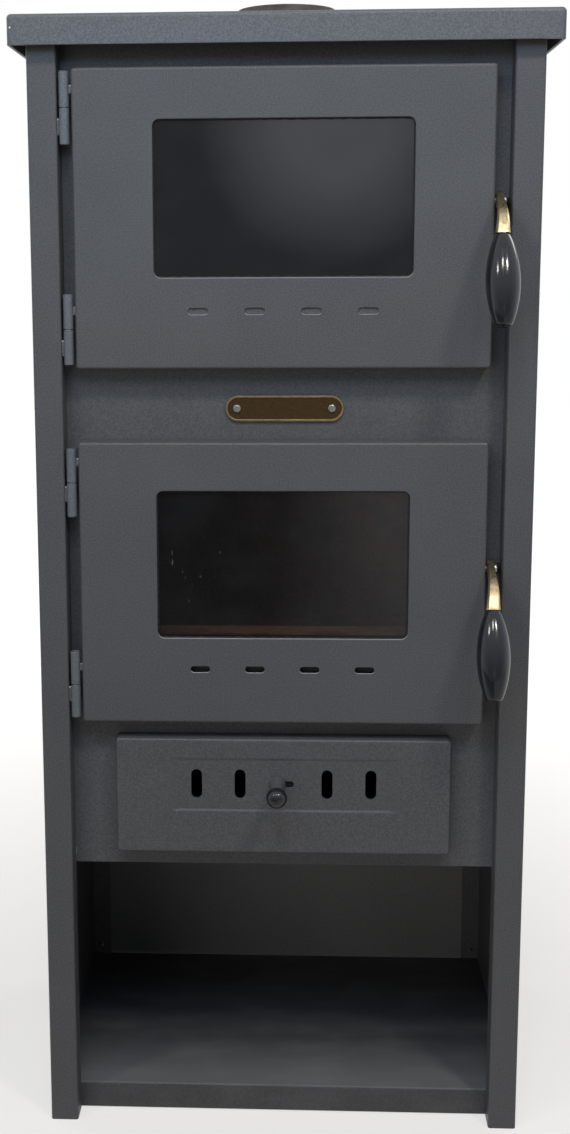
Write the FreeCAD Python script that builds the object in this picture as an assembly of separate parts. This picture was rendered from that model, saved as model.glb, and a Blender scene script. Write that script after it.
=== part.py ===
import FreeCAD, Part
import math
import os

# Tower wood stove with an oven: oven door on top, firebox door below it, ash drawer, open wood store.
# Millimetres. X runs to the right seen from the front, Y runs into the stove, Z is up.
# Sizes below are measured from the front face of the posts (Y = 0) and from the floor (Z = 0).
# The finished pieces are moved along Y, so that the origin lies under the middle of the whole stove.

# body
body_width = 464.0
body_depth = 352.0
sheet = 2.0
bend = 2.4
post_width = 27.0
return_depth = 26.0
rear_flange = 22.0
panel_y = return_depth
panel_back = panel_y + sheet
side_x = body_width / 2
inner_x = side_x - sheet
back_y = body_depth - sheet

# top plate and flue spigot
plate_top = 1067.0
plate_sheet = 3.0
plate_overhang = 14.5
skirt_height = 27.0
plate_bend = 4.0
body_top = plate_top - plate_sheet
flue_radius = 50.0
flue_wall = 3.0
flue_rise = 37.0
flue_y = 255.0
flue_weld = 4.0
flue_groove = 2.0
flue_gap = 0.1

# levels
store_floor_z = 28.0
store_roof_z = 264.0
bay_floor_z = store_roof_z + sheet
bed_z = 404.0
bed_sheet = 4.0

# combustion casing
casing_x = 196.0
casing_sheet = 2.5
casing_back = 330.0
casing_inner_x = casing_x - casing_sheet
casing_inner_back = casing_back - casing_sheet

# doors
door_width = 381.5
door_height = 269.5
door_depth = 25.0
door_x = -1.2
door_corner = 2.6
door_bottoms = {"oven": 752.5, "firebox": 415.0}
door_left = door_x - door_width / 2
door_right = door_x + door_width / 2
window_width = 236.5
window_height = 140.8
window_x = -0.6
window_rise = 153.4
window_corner = 6.5
slot_length = 18.5
slot_height = 6.0
slot_pitch = 52.0
slot_rise = 52.5
slot_cover_width = 190.0
slot_cover_height = 14.0
slot_cover_sheet = 1.5
opening_width = 330.0
opening_height = 220.0
opening_rise = 25.0

# glass and what holds it
glass_width = 256.0
glass_height = 160.0
glass_sheet = 4.0
glass_corner = 5.0
gasket = 2.0
gasket_width = 11.2
retainer_sheet = 1.5
retainer_rim = 20.0
liner_drop = 122.0
stud_radius = 2.0
nut_height = 3.2
nut_across = 7.0
pivot_nut_height = 4.0
pivot_nut_across = 8.0

# rope seal
seal_width = 12.0
seal_sheet = 1.5
seal_floor_y = 15.5
rope_width = 8.5
rope_front_gap = 0.3

# door hinges
hinge_x = -198.7
hinge_y = 3.0
hinge_radius = 4.5
hinge_rises = {"oven": (234.5, 36.1), "firebox": (231.3, 36.6)}
knuckle_length = 32.0
knuckle_gap = 0.5
pin_radius = 2.5
pin_running = 0.06
pin_fixed = 0.02
pin_rise = 28.0
post_tab_drops = {"oven": (17.0, 17.5), "firebox": (11.3, 10.1)}
door_tab_rises = {"oven": (16.1, 16.7), "firebox": (19.0, 16.6)}
tab_sheet = 3.0
door_tab_height = 7.0
frame_tab_height = 14.0

# door handles
handle_x = 194.0
handle_drop = 119.5
pivot_y = 8.5
eye_radius = 7.4
eye_width = 7.0
grip_top_forward = 47.5
grip_top_drop = 30.5
handle_lean = 1.7
grip_tilt = math.radians(18.3)
grip_length = 82.8
grip_top_radius = 6.6
grip_mid_radius = 15.4
grip_end_radius = 7.6
ferrule_width = 13.0
ferrule_depth = 13.0
tang_radius = 3.0
tang_length = 60.0
hook_reach = 15.5
hook_height = 4.0
keeper_radius = 3.0
keeper_y = 21.0
keeper_gap = 0.5
pivot_head_radius = 4.2
spacer_radius = 3.8

# ash drawer
drawer_width = 323.0
drawer_bottom = 282.6
drawer_height = 114.9
drawer_front_y = 5.0
drawer_back_gap = 0.3
drawer_corner = 2.5
recess_width = 215.2
recess_bottom = 325.7
recess_height = 51.4
recess_depth = 1.2
air_x = 0.8
air_offsets = (-84.2, -42.0, 42.0, 84.2)
air_z = 352.0
air_width = 10.5
air_height = 29.0
shutter_sheet = 1.5
shutter_y = 8.8
shutter_half_width = 97.0
shutter_height = 49.0
shutter_travel = 12.6
guide_height = 6.0
box_half_width = 135.0
box_front_y = 11.0
box_back_y = 300.0
box_bottom = 290.0
box_top = 382.0
box_sheet = 1.5
drawer_opening_half_width = 138.0
drawer_opening_bottom = 287.0
drawer_opening_top = 385.0

# air knob
knob_x = -5.2
knob_radius = 10.0
knob_y = -35.4
cone_base_radius = 6.6
cone_tip_radius = 4.2
stem_radius = 2.5
knob_slot_height = 6.0

# badge
badge_width = 111.0
badge_height = 24.4
badge_x = 0.6
badge_z = 714.0
badge_sheet = 2.0
badge_rim = 1.0
badge_rim_width = 2.4
badge_screw_pitch = 89.0
screw_radius = 1.5
screw_head_radius = 3.6
screw_head_height = 2.0

# fire bricks and grate
brick = 30.0
brick_top = 600.0
brick_joint = 0.5
guard_top = 495.0
guard_front = 40.0
grate_half_width = 85.0
grate_front = 85.0
grate_length = 190.0
grate_height = 12.0
grate_ledge = 10.0
grate_bars = 10

# oven
oven_sheet = 2.0
oven_back = 300.0
rack_z = 820.0
rack_level = 70.0
rail_width = 12.0
rail_sheet = 1.5
rack_wire = 5.0
rack_rods = 13
baffle_z = 790.0

# the origin lies midway between the plate's back edge and the handles' furthest reach to the front
handle_reach = 72.43
origin_y = (body_depth + plate_overhang - handle_reach) / 2

X, Y, Z = FreeCAD.Vector(1, 0, 0), FreeCAD.Vector(0, 1, 0), FreeCAD.Vector(0, 0, 1)


def vec(x, y, z):
    return FreeCAD.Vector(x, y, z)


def block(x0, x1, y0, y1, z0, z1):
    """Box between two corners."""
    return Part.makeBox(x1 - x0, y1 - y0, z1 - z0, vec(x0, y0, z0))


def rod(radius, start, end):
    """Cylinder from one point to another."""
    run = end - start
    return Part.makeCylinder(radius, run.Length, start, run)


def prism(points, direction):
    """Closed outline carried straight along a direction."""
    return Part.Face(Part.makePolygon(points + points[:1])).extrude(direction)


def parallel_edges(shape, axis, places=None):
    """Straight edges along an axis, all of them or those through the given points."""
    found = []
    for edge in shape.Edges:
        run = edge.Vertexes[-1].Point - edge.Vertexes[0].Point
        if run.Length < 1e-6 or abs(abs(run.normalize() * axis) - 1) > 1e-6:
            continue
        middle = edge.CenterOfMass
        across = [(middle - p) - axis * ((middle - p) * axis) for p in places or []]
        if places is None or min(a.Length for a in across) < 0.01:
            found.append(edge)
    return found


def rounded_block(x0, x1, y0, y1, z0, z1, radius, axis):
    """Box with its four edges along one axis rounded."""
    shape = block(x0, x1, y0, y1, z0, z1)
    return shape.makeFillet(radius, parallel_edges(shape, axis))


def obround(x, z, length, height, y0, y1):
    """Slot-shaped bar along Y, longer along X, or along Z if its height is the greater."""
    radius = min(length, height) / 2
    dx, dz = length / 2 - radius, height / 2 - radius
    ends = [rod(radius, vec(x + s * dx, y0, z + s * dz), vec(x + s * dx, y1, z + s * dz)) for s in (-1, 1)]
    half_x, half_z = (dx, radius) if length > height else (radius, dz)
    middle = block(x - half_x, x + half_x, y0, y1, z - half_z, z + half_z)
    return ends[0].fuse([ends[1], middle]).removeSplitter()


def ring(x0, x1, z0, z1, y0, y1, width, corner):
    """Flat rectangular frame of one width, standing in the XZ plane, with rounded outer corners."""
    inner = block(x0 + width, x1 - width, y0 - 1, y1 + 1, z0 + width, z1 - width)
    return rounded_block(x0, x1, y0, y1, z0, z1, corner, Y).cut(inner)


def pan(x0, x1, y0, y1, z0, z1, wall, corner):
    """Pressed tray that is open at the back, with soft bends round its front face."""
    outer = block(x0, x1, y0, y1, z0, z1)
    front = [e for e in outer.Edges if e.BoundBox.YMax - y0 < 0.01]
    outer = outer.makeFillet(corner, parallel_edges(outer, Y) + front)
    inner = block(x0 + wall, x1 - wall, y0 + wall, y1 + corner, z0 + wall, z1 - wall)
    front = [e for e in inner.Edges if e.BoundBox.YMax - (y0 + wall) < 0.01]
    inner = inner.makeFillet(corner - wall, parallel_edges(inner, Y) + front)
    return outer.cut(inner)


def hexagon(across, start, end):
    """Hexagonal bar from one point to another along X or Y, with corners at its top and bottom."""
    axis = (end - start).normalize()
    side = Z.cross(axis)
    radius = across / math.sqrt(3)
    turns = [math.radians(60 * i + 30) for i in range(6)]
    return prism([start + side * (radius * math.cos(t)) + Z * (radius * math.sin(t)) for t in turns], end - start)


def cross_screw(head_radius, head_height, shank_radius, seat, tip):
    """Pan head screw with a cross recess. The head stands on the seat, and the shank runs to the tip."""
    into = (tip - seat).normalize()
    head = rod(head_radius, seat - into * head_height, seat)
    rim = [e for e in head.Edges if abs((e.CenterOfMass - seat) * into + head_height) < 0.01]
    head = head.makeFillet(head_height * 0.45, rim)
    arm, half, deep = head_radius * 0.6, head_radius * 0.13, head_height * 0.55
    top = seat - into * head_height
    side = Z.cross(into)
    for along, across in ((side, Z), (Z, side)):
        slit = [top + along * (a * arm) + across * (b * half) for a, b in ((-1, -1), (1, -1), (1, 1), (-1, 1))]
        head = head.cut(prism(slit, into * deep))
    return head.fuse(rod(shank_radius, seat, tip)).removeSplitter()


def write(name, *solids):
    """Moves the pieces of one node into the stove's own frame and writes them."""
    shape = solids[0] if len(solids) == 1 else Part.makeCompound(list(solids))
    shape = shape.copy()
    shape.translate(vec(0, -origin_y, 0))
    good = shape.isValid() and all(s.Volume > 0 for s in shape.Solids) and shape.Solids
    print(name, len(shape.Solids), round(shape.Volume / 1000, 2), "ok" if good else "BAD")
    shape.exportStep("parts/" + name + ".step")


def both_sides(shape):
    """The shape and its mirror image across the stove's middle plane."""
    return shape, shape.mirror(vec(0, 0, 0), X)


# ---------------------------------------------------------------- body sheets

def back_screw_places():
    heights = [40 + i * (body_top - 80) / 3 for i in range(4)]
    return [(s * (side_x - 12), z) for s in (-1, 1) for z in heights]


def side_panels():
    """Side wall, front post, return flange and rear flange, folded from one sheet that stands on the floor."""
    edge_x = side_x - post_width
    outline = [
        (side_x, 0), (edge_x, 0), (edge_x, return_depth), (edge_x + sheet, return_depth),
        (edge_x + sheet, sheet), (inner_x, sheet), (inner_x, back_y - sheet),
        (side_x - rear_flange, back_y - sheet), (side_x - rear_flange, back_y), (side_x, back_y),
    ]
    shape = prism([vec(x, y, 0) for x, y in outline], Z * body_top)
    outer = [vec(side_x, 0, 0), vec(edge_x, 0, 0), vec(side_x, back_y, 0)]
    inner = [vec(edge_x + sheet, sheet, 0), vec(inner_x, sheet, 0), vec(inner_x, back_y - sheet, 0)]
    shape = shape.makeFillet(bend, parallel_edges(shape, Z, outer))
    shape = shape.makeFillet(bend - sheet, parallel_edges(shape, Z, inner))
    for x, z in back_screw_places():
        if x > 0:
            shape = shape.cut(rod(screw_radius + 0.05, vec(x, back_y - 10, z), vec(x, body_depth, z)))
    right, left = both_sides(shape)
    write("side_panel_right", right)
    write("side_panel_left", left)


def back_panel():
    """Flat rear cover, screwed to the rear flanges of the side panels."""
    shape = block(-inner_x, inner_x, back_y, body_depth, 4, body_top - 4)
    screws = []
    for x, z in back_screw_places():
        shape = shape.cut(rod(screw_radius + 0.05, vec(x, back_y - 10, z), vec(x, body_depth + 10, z)))
        seat = vec(x, body_depth, z)
        screws.append(cross_screw(screw_head_radius, screw_head_height, screw_radius, seat, vec(x, back_y - 8, z)))
    write("back_panel", shape)
    write("back_panel_screws", *screws)


def front_panel():
    """Sheet behind the doors and the drawer, with an opening for each."""
    shape = block(-inner_x, inner_x, panel_y, panel_back, store_roof_z, body_top)
    for bottom in door_bottoms.values():
        z = bottom + opening_rise
        hole = rounded_block(-opening_width / 2, opening_width / 2, panel_y - 1, panel_back + 1,
                             z, z + opening_height, 8, Y)
        shape = shape.cut(hole)
    shape = shape.cut(rounded_block(-drawer_opening_half_width, drawer_opening_half_width, panel_y - 1,
                                    panel_back + 1, drawer_opening_bottom, drawer_opening_top, 3, Y))
    for s in (-1, 1):
        x = badge_x + s * badge_screw_pitch / 2
        shape = shape.cut(rod(screw_radius + 0.05, vec(x, panel_y - 1, badge_z), vec(x, panel_back + 1, badge_z)))
    write("front_panel", shape)


def wood_store():
    """Floor of the wood store with its folded front lip, and the roof that also closes the ash bay."""
    lip = [(panel_y, 1), (panel_back, 1), (panel_back, store_floor_z - sheet), (back_y - sheet, store_floor_z - sheet),
           (back_y - sheet, store_floor_z), (panel_y, store_floor_z)]
    shape = prism([vec(-inner_x, y, z) for y, z in lip], X * (2 * inner_x))
    shape = shape.makeFillet(bend, parallel_edges(shape, X, [vec(0, panel_y, store_floor_z)]))
    shape = shape.makeFillet(bend - sheet, parallel_edges(shape, X, [vec(0, panel_back, store_floor_z - sheet)]))
    write("wood_store_floor", shape)
    write("wood_store_roof", block(-inner_x, inner_x, panel_back, back_y - sheet, store_roof_z, bay_floor_z))


def top_plate():
    """Pressed cooking plate with a skirt all round and a hole for the flue, chamfered for the weld."""
    x, y0, y1 = side_x + plate_overhang, -plate_overhang, body_depth + plate_overhang
    outer = block(-x, x, y0, y1, plate_top - skirt_height, plate_top)
    top = [e for e in outer.Edges if plate_top - e.BoundBox.ZMin < 0.01]
    outer = outer.makeFillet(plate_bend, parallel_edges(outer, Z) + top)
    w = plate_sheet
    inner = block(-x + w, x - w, y0 + w, y1 - w, plate_top - skirt_height - 10, body_top)
    top = [e for e in inner.Edges if body_top - e.BoundBox.ZMin < 0.01]
    inner = inner.makeFillet(plate_bend - w, parallel_edges(inner, Z) + top)
    hole = rod(flue_radius + flue_gap, vec(0, flue_y, body_top - 1), vec(0, flue_y, plate_top + 1))
    groove = Part.makeCone(flue_radius + flue_gap, flue_radius + flue_weld + flue_gap, flue_groove,
                           vec(0, flue_y, plate_top - flue_groove))
    write("top_plate", outer.cut(inner).cut(hole).cut(groove))


def flue_spigot():
    """Short tube welded into the plate, which the flue pipe fits over. The weld fills the plate's chamfer."""
    low, high = vec(0, flue_y, body_top), vec(0, flue_y, plate_top + flue_rise)
    tube = rod(flue_radius, low, high).cut(rod(flue_radius - flue_wall, low - Z, high + Z))
    foot = vec(0, flue_y, plate_top - flue_groove)
    weld = Part.makeCone(flue_radius, flue_radius + flue_weld, flue_groove, foot)
    weld = weld.fuse(Part.makeCone(flue_radius + flue_weld, flue_radius, flue_weld, vec(0, flue_y, plate_top)))
    weld = weld.cut(rod(flue_radius - 1, low, high))
    write("flue_spigot", tube.fuse(weld).removeSplitter())


# ---------------------------------------------------------------- fire side

def combustion_casing():
    """U-shaped inner shell behind the front panel, which holds the fire and the oven."""
    outline = [(-casing_x, panel_back), (-casing_inner_x, panel_back), (-casing_inner_x, casing_inner_back),
               (casing_inner_x, casing_inner_back), (casing_inner_x, panel_back), (casing_x, panel_back),
               (casing_x, casing_back), (-casing_x, casing_back)]
    write("combustion_casing", prism([vec(x, y, bay_floor_z) for x, y in outline], Z * (body_top - bay_floor_z)))


def fire_bed():
    """Bed plate with the cast grate lying over its hole."""
    x, y0, y1 = grate_half_width, grate_front, grate_front + grate_length
    top = bed_z + bed_sheet
    bed = block(-casing_inner_x, casing_inner_x, panel_back, casing_inner_back, bed_z, top)
    w = grate_ledge
    write("fire_bed", bed.cut(block(-x + w, x - w, y0 + w, y1 - w, bed_z - 1, top + 1)))
    grate = block(-x, x, y0, y1, top, top + grate_height)
    pitch = (2 * x - 2 * w) / grate_bars
    for i in range(grate_bars):
        left = -x + w + (i + 0.25) * pitch
        grate = grate.cut(rounded_block(left, left + pitch / 2, y0 + w, y1 - w, top - 1,
                                        top + grate_height + 1, pitch / 5, Z))
    write("fire_grate", grate)


def fire_bricks():
    """Loose bricks that stand on the bed plate against the casing, and a low one that keeps logs off the glass."""
    foot = bed_z + bed_sheet
    outer = casing_inner_x - 0.5
    inner = outer - brick
    front, rear = panel_back + 2, casing_inner_back - 0.5

    def row(start, end, count):
        step = (end - start + brick_joint) / count
        return [(start + i * step, start + (i + 1) * step - brick_joint) for i in range(count)]

    for name, x0, x1 in (("bricks_left", -outer, -inner), ("bricks_right", inner, outer)):
        write(name, *[block(x0, x1, a, b, foot, brick_top) for a, b in row(front, rear, 3)])
    limit = inner - brick_joint
    write("bricks_back", *[block(a, b, rear - brick, rear, foot, brick_top) for a, b in row(-limit, limit, 3)])
    write("brick_log_guard", block(-limit, limit, guard_front, guard_front + brick, foot, guard_top))


# ---------------------------------------------------------------- oven

def oven():
    """Sheet box behind the oven door, its shelf rails, the wire shelf, and the plate that guides the smoke."""
    x, z0 = opening_width / 2, door_bottoms["oven"] + opening_rise
    z1, s = z0 + opening_height, oven_sheet
    shell = block(-x - s, x + s, panel_back, oven_back, z0 - s, z1 + s)
    write("oven_box", shell.cut(block(-x, x, panel_back - 1, oven_back - s, z0, z1)))
    front, rear = panel_back + 12, oven_back - s - 8
    rails = []
    for level in range(2):
        z = rack_z + level * rack_level
        ledge = block(x - rail_width, x, front, rear, z, z + rail_sheet)
        rails += both_sides(ledge.fuse(block(x - rail_sheet, x, front, rear, z, z + rail_width)).removeSplitter())
    write("oven_shelf_rails", *rails)
    half, low = x - 5, rack_z + rail_sheet
    shelf = block(-half, half, front, rear, low, low + rack_wire)
    w = rack_wire
    shelf = shelf.cut(block(-half + w, half - w, front + w, rear - w, low - 1, low + rack_wire + 1))
    gap = (2 * half - 2 * w) / (rack_rods + 1)
    wires = []
    for i in range(rack_rods):
        wire_x = -half + w + (i + 1) * gap
        wires.append(rod(1.5, vec(wire_x, front + 1, low + w / 2), vec(wire_x, rear - 1, low + w / 2)))
    write("oven_shelf", shelf.fuse(wires).removeSplitter())
    write("smoke_baffle", block(-casing_inner_x, casing_inner_x, oven_back, casing_inner_back, baffle_z, baffle_z + 2))


# ---------------------------------------------------------------- doors

def door_panel(name, bottom):
    """Pressed door skin with its window and the row of air slots."""
    shape = pan(door_left, door_right, 0, door_depth, bottom, bottom + door_height, sheet, door_corner)
    middle = bottom + window_rise
    shape = shape.cut(rounded_block(window_x - window_width / 2, window_x + window_width / 2, -1, sheet + 1,
                                    middle - window_height / 2, middle + window_height / 2, window_corner, Y))
    for i in range(4):
        x = window_x + (i - 1.5) * slot_pitch
        shape = shape.cut(obround(x, bottom + slot_rise, slot_length, slot_height, -1, sheet + 1))
    pivot_z = bottom + door_height - handle_drop
    hole = rod(pin_radius + 0.05, vec(door_right - 5, pivot_y, pivot_z), vec(door_right + 5, pivot_y, pivot_z))
    write(name + "_door_panel", shape.cut(hole))


def oven_slot_cover():
    """Painted strip welded behind the oven door's row of slots, which closes them."""
    half, low = slot_cover_width / 2, door_bottoms["oven"] + slot_rise - slot_cover_height / 2
    write("oven_slot_cover", block(window_x - half, window_x + half, sheet, sheet + slot_cover_sheet,
                                   low, low + slot_cover_height))


def glazing(name, bottom):
    """Glass between two gasket tapes, pressed by a sheet liner on studs that are welded to the door skin. The
    liner reaches down behind the slots."""
    middle = bottom + window_rise
    half_x, half_z = glass_width / 2, glass_height / 2
    x0, x1, z0, z1 = window_x - half_x, window_x + half_x, middle - half_z, middle + half_z
    y1 = sheet + gasket
    y2 = y1 + glass_sheet
    y3 = y2 + gasket
    write(name + "_glass", rounded_block(x0, x1, y1, y2, z0, z1, glass_corner, Y))
    tapes = [ring(x0, x1, z0, z1, y, y + gasket, gasket_width, glass_corner) for y in (sheet, y2)]
    write(name + "_glass_gaskets", *tapes)
    rim = retainer_rim
    frame = rounded_block(x0 - rim, x1 + rim, y3, y3 + retainer_sheet, middle - liner_drop, z1 + rim, 6, Y)
    g = gasket_width
    frame = frame.cut(block(x0 + g, x1 - g, y3 - 1, y3 + 5, z0 + g, z1 - g))
    fixings = []
    for sx in (-1, 0, 1):
        for sz in (-1, 1):
            x = window_x + sx * (half_x + rim / 2)
            z = middle + sz * (half_z + rim / 2)
            start, seat = vec(x, sheet, z), vec(x, y3 + retainer_sheet, z)
            frame = frame.cut(rod(stud_radius + 0.15, start, seat + Y))
            fixings.append(rod(stud_radius, start, seat + Y * (nut_height + 2)))
            nut = hexagon(nut_across, seat, seat + Y * nut_height)
            fixings.append(nut.cut(rod(stud_radius + 0.05, seat - Y, seat + Y * (nut_height + 1))))
    write(name + "_door_liner", frame)
    write(name + "_glass_fixings", *fixings)


def door_seal(name, bottom):
    """Rope seal that lies in a shallow channel round the back of the door."""
    x0, x1 = door_left + sheet, door_right - sheet
    z0, z1 = bottom + sheet, bottom + door_height - sheet
    round_off = door_corner - sheet
    web = ring(x0, x1, z0, z1, seal_floor_y, seal_floor_y + seal_sheet, seal_width, round_off)
    i = seal_width - seal_sheet
    lip = ring(x0 + i, x1 - i, z0 + i, z1 - i, seal_floor_y, seal_floor_y + 6, seal_sheet, seal_sheet / 2)
    write(name + "_seal_channel", web.fuse(lip).removeSplitter())
    rope_back = panel_y - rope_front_gap
    o = (seal_width - seal_sheet - rope_width) / 2
    rope = ring(x0 + o, x1 - o, z0 + o, z1 - o, seal_floor_y + seal_sheet, rope_back, rope_width, round_off)
    write(name + "_rope_seal", rope)


def hinges(name, bottom):
    """Two weld-on lift-off hinges: lower knuckle and pin on the post, upper knuckle on the door."""
    post, pins, door = [], [], []
    edge_x = -(side_x - post_width)
    y0, y1 = hinge_y, hinge_y + tab_sheet
    for rise, drop, lift in zip(hinge_rises[name], post_tab_drops[name], door_tab_rises[name]):
        split = bottom + rise
        low, high = split - knuckle_gap / 2, split + knuckle_gap / 2
        axis = vec(hinge_x, hinge_y, 0)
        lower = rod(hinge_radius, axis + Z * (low - knuckle_length), axis + Z * low)
        z = split - drop
        tab = block(edge_x, hinge_x, y0, y1, z - frame_tab_height / 2, z + frame_tab_height / 2)
        lower = lower.fuse(tab).cut(rod(pin_radius + pin_fixed, axis + Z * (low - knuckle_length + 4), axis + Z * high))
        post.append(lower.removeSplitter())
        upper = rod(hinge_radius, axis + Z * high, axis + Z * (high + knuckle_length))
        z = split + lift
        tab = block(hinge_x, door_left, y0, y1, z - door_tab_height / 2, z + door_tab_height / 2)
        upper = upper.fuse(tab).cut(rod(pin_radius + pin_running, axis + Z * low, axis + Z * (high + pin_rise + 1)))
        door.append(upper.removeSplitter())
        pins.append(rod(pin_radius, axis + Z * (low - knuckle_length + 4), axis + Z * (high + pin_rise)))
    write(name + "_hinge_post_knuckles", *post)
    write(name + "_hinge_pins", *pins)
    write(name + "_hinge_door_knuckles", *door)


def section(centre, along, width, depth):
    """Closed outline across a path in the YZ plane: a rectangle with wide chamfers on its corners."""
    across = X.cross(along)
    c = 0.28
    corners = [(-1 + c, -1), (1 - c, -1), (1, -1 + c), (1, 1 - c), (1 - c, 1), (-1 + c, 1), (-1, 1 - c), (-1, -1 + c)]
    points = [centre + X * (a * width / 2) + across * (b * depth / 2) for a, b in corners]
    return Part.makePolygon(points + points[:1])


def handle(name, bottom):
    """Brass lever that turns on a screw in the door's edge, with a black spindle grip on its tang."""
    pivot = vec(handle_x, pivot_y, bottom + door_height - handle_drop)
    down = vec(0, -math.sin(grip_tilt), -math.cos(grip_tilt))
    grip_top = pivot + vec(-handle_lean, -grip_top_forward, -grip_top_drop)
    root = pivot + Z * 1.5
    knee = grip_top - down * 27
    widths = [eye_width - 0.4, 7.2, 8.6, 10.8, ferrule_width]
    depths = [11.8, 10.4, 9.6, 10.8, ferrule_depth]
    wires = []
    for i, (width, depth) in enumerate(zip(widths, depths)):
        t = i / (len(widths) - 1)
        place = root * ((1 - t) ** 2) + knee * (2 * t * (1 - t)) + grip_top * (t * t)
        along = (knee - root) * (1 - t) + (grip_top - knee) * t
        wires.append(section(place, along.normalize(), width, depth))
    neck = Part.makeLoft(wires, True, True)
    half = eye_width / 2
    eye = rod(eye_radius, pivot - X * half, pivot + X * half)
    hook_top = -keeper_radius - keeper_gap
    hook = block(-half, half, 0, hook_reach, hook_top - hook_height, hook_top)
    hook.translate(pivot)
    tang = rod(tang_radius, grip_top - down, grip_top + down * tang_length)
    lever = eye.fuse([neck, hook, tang]).cut(rod(pin_radius + pin_running, pivot - X * 9, pivot + X * 9))
    write(name + "_handle_lever", lever.removeSplitter())

    radii = (grip_top_radius, grip_mid_radius, grip_end_radius)
    start, middle, end = [vec(r, 0, -d) for r, d in zip(radii, (0, grip_length / 2, grip_length))]
    outline = [Part.Arc(start, middle, end).toShape(), Part.makeLine(end, vec(0, 0, -grip_length)),
               Part.makeLine(vec(0, 0, -grip_length), vec(0, 0, 0)), Part.makeLine(vec(0, 0, 0), start)]
    grip = Part.Face(Part.Wire(outline)).revolve(vec(0, 0, 0), Z, 360)
    grip = grip.cut(rod(tang_radius + 0.05, Z, Z * (-tang_length - 1)))
    grip.rotate(vec(0, 0, 0), X, -math.degrees(grip_tilt))
    grip.translate(grip_top)
    write(name + "_handle_grip", grip)

    inside = door_right - sheet
    head_x = pivot.x + half + 0.3
    seat = vec(head_x, pivot.y, pivot.z)
    screw = cross_screw(pivot_head_radius, 3.0, pin_radius, seat, seat - X * (head_x - inside + 7))
    spacer = rod(spacer_radius, seat + X * (door_right - head_x), seat + X * (handle_x - half - 0.3 - head_x))
    nut_seat = vec(inside, pivot.y, pivot.z)
    nut = hexagon(pivot_nut_across, nut_seat - X * pivot_nut_height, nut_seat)
    bore = rod(pin_radius + 0.05, seat - X * 30, seat)
    write(name + "_handle_pivot", screw, spacer.cut(bore), nut.cut(bore))

    edge_x = side_x - post_width
    keeper = rod(keeper_radius, vec(handle_x - half, keeper_y, pivot.z), vec(edge_x, keeper_y, pivot.z))
    write(name + "_handle_keeper", keeper)


# ---------------------------------------------------------------- ash drawer

def ash_drawer():
    """Ash box with a pressed front, the sliding air shutter behind it, and its knob."""
    x0, x1 = -drawer_width / 2, drawer_width / 2
    z0, z1 = drawer_bottom, drawer_bottom + drawer_height
    front = pan(x0, x1, drawer_front_y, panel_y - drawer_back_gap, z0, z1, sheet, drawer_corner)
    half, y = recess_width / 2, drawer_front_y
    low, high = recess_bottom, recess_bottom + recess_height
    floor = block(-half, half, y + recess_depth, y + recess_depth + sheet, low, high)
    front = front.fuse(floor).cut(block(-half + sheet, half - sheet, y - 1, y + recess_depth, low + sheet, high - sheet))
    air = [obround(air_x + dx, air_z, air_width, air_height, -5, 30) for dx in air_offsets]
    knob_slot = obround(knob_x + shutter_travel / 2, air_z, shutter_travel + knob_slot_height + 0.4, knob_slot_height,
                        -5, 30)
    write("ash_drawer_front", front.cut(air + [knob_slot]).removeSplitter())

    y0, y1 = drawer_front_y + sheet, box_front_y
    strips = []
    for a, b in ((low - guide_height, low - 0.2), (high + 0.2, box_top)):
        strips.append(block(-half, half, y0, y1, a, b))
    write("air_shutter_guides", *strips)

    w, s = box_half_width, box_sheet
    box = block(-w, w, box_front_y, box_back_y, box_bottom, box_top)
    box = box.cut(block(-w + s, w - s, box_front_y + s, box_back_y - s, box_bottom + s, box_top + 1))
    box = box.cut(block(-92, 92, box_front_y - 1, box_front_y + s + 1, 332, 372))
    write("ash_box", box)

    middle = (low + high) / 2
    h = shutter_height / 2
    shutter = block(-shutter_half_width, shutter_half_width, shutter_y, shutter_y + shutter_sheet, middle - h, middle + h)
    write("air_shutter", shutter.cut(air))
    seat = drawer_front_y + recess_depth - 0.4
    end = knob_y + knob_radius - 1.5
    stem = rod(stem_radius, vec(knob_x, seat, air_z), vec(knob_x, shutter_y, air_z))
    cone = Part.makeCone(cone_base_radius, cone_tip_radius, seat - end, vec(knob_x, seat, air_z), vec(0, -1, 0))
    write("air_knob_stem", stem.fuse(cone).removeSplitter())
    ball = Part.makeSphere(knob_radius, vec(knob_x, knob_y, air_z))
    write("air_knob_ball", ball.cut(block(-30, 30, end, 10, air_z - 20, air_z + 20)))

    rails = []
    inner = box_half_width + 1.0
    ledge_top = box_bottom - 0.3
    outline = [(inner, bay_floor_z), (inner + 1.5, bay_floor_z), (inner + 1.5, 305), (inner, 305), (inner, ledge_top),
               (inner - 16, ledge_top), (inner - 16, ledge_top - 1.5), (inner, ledge_top - 1.5)]
    rail = prism([vec(x, panel_back, z) for x, z in outline], Y * (casing_inner_back - panel_back))
    rails += both_sides(rail)
    write("ash_box_rails", *rails)


# ---------------------------------------------------------------- badge

def badge():
    """Bare brass plate with a raised rim, held by two screws."""
    y = panel_y - badge_sheet
    plate = obround(badge_x, badge_z, badge_width, badge_height, y - badge_rim, panel_y)
    w = 2 * badge_rim_width
    plate = plate.cut(obround(badge_x, badge_z, badge_width - w, badge_height - w, y - badge_rim - 1, y))
    screws = []
    for s in (-1, 1):
        x = badge_x + s * badge_screw_pitch / 2
        plate = plate.cut(rod(screw_radius + 0.05, vec(x, y - 5, badge_z), vec(x, panel_y + 5, badge_z)))
        screws.append(cross_screw(screw_head_radius, screw_head_height, screw_radius, vec(x, y, badge_z),
                                  vec(x, panel_back + 4, badge_z)))
    write("badge_plate", plate)
    write("badge_screws", *screws)


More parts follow.
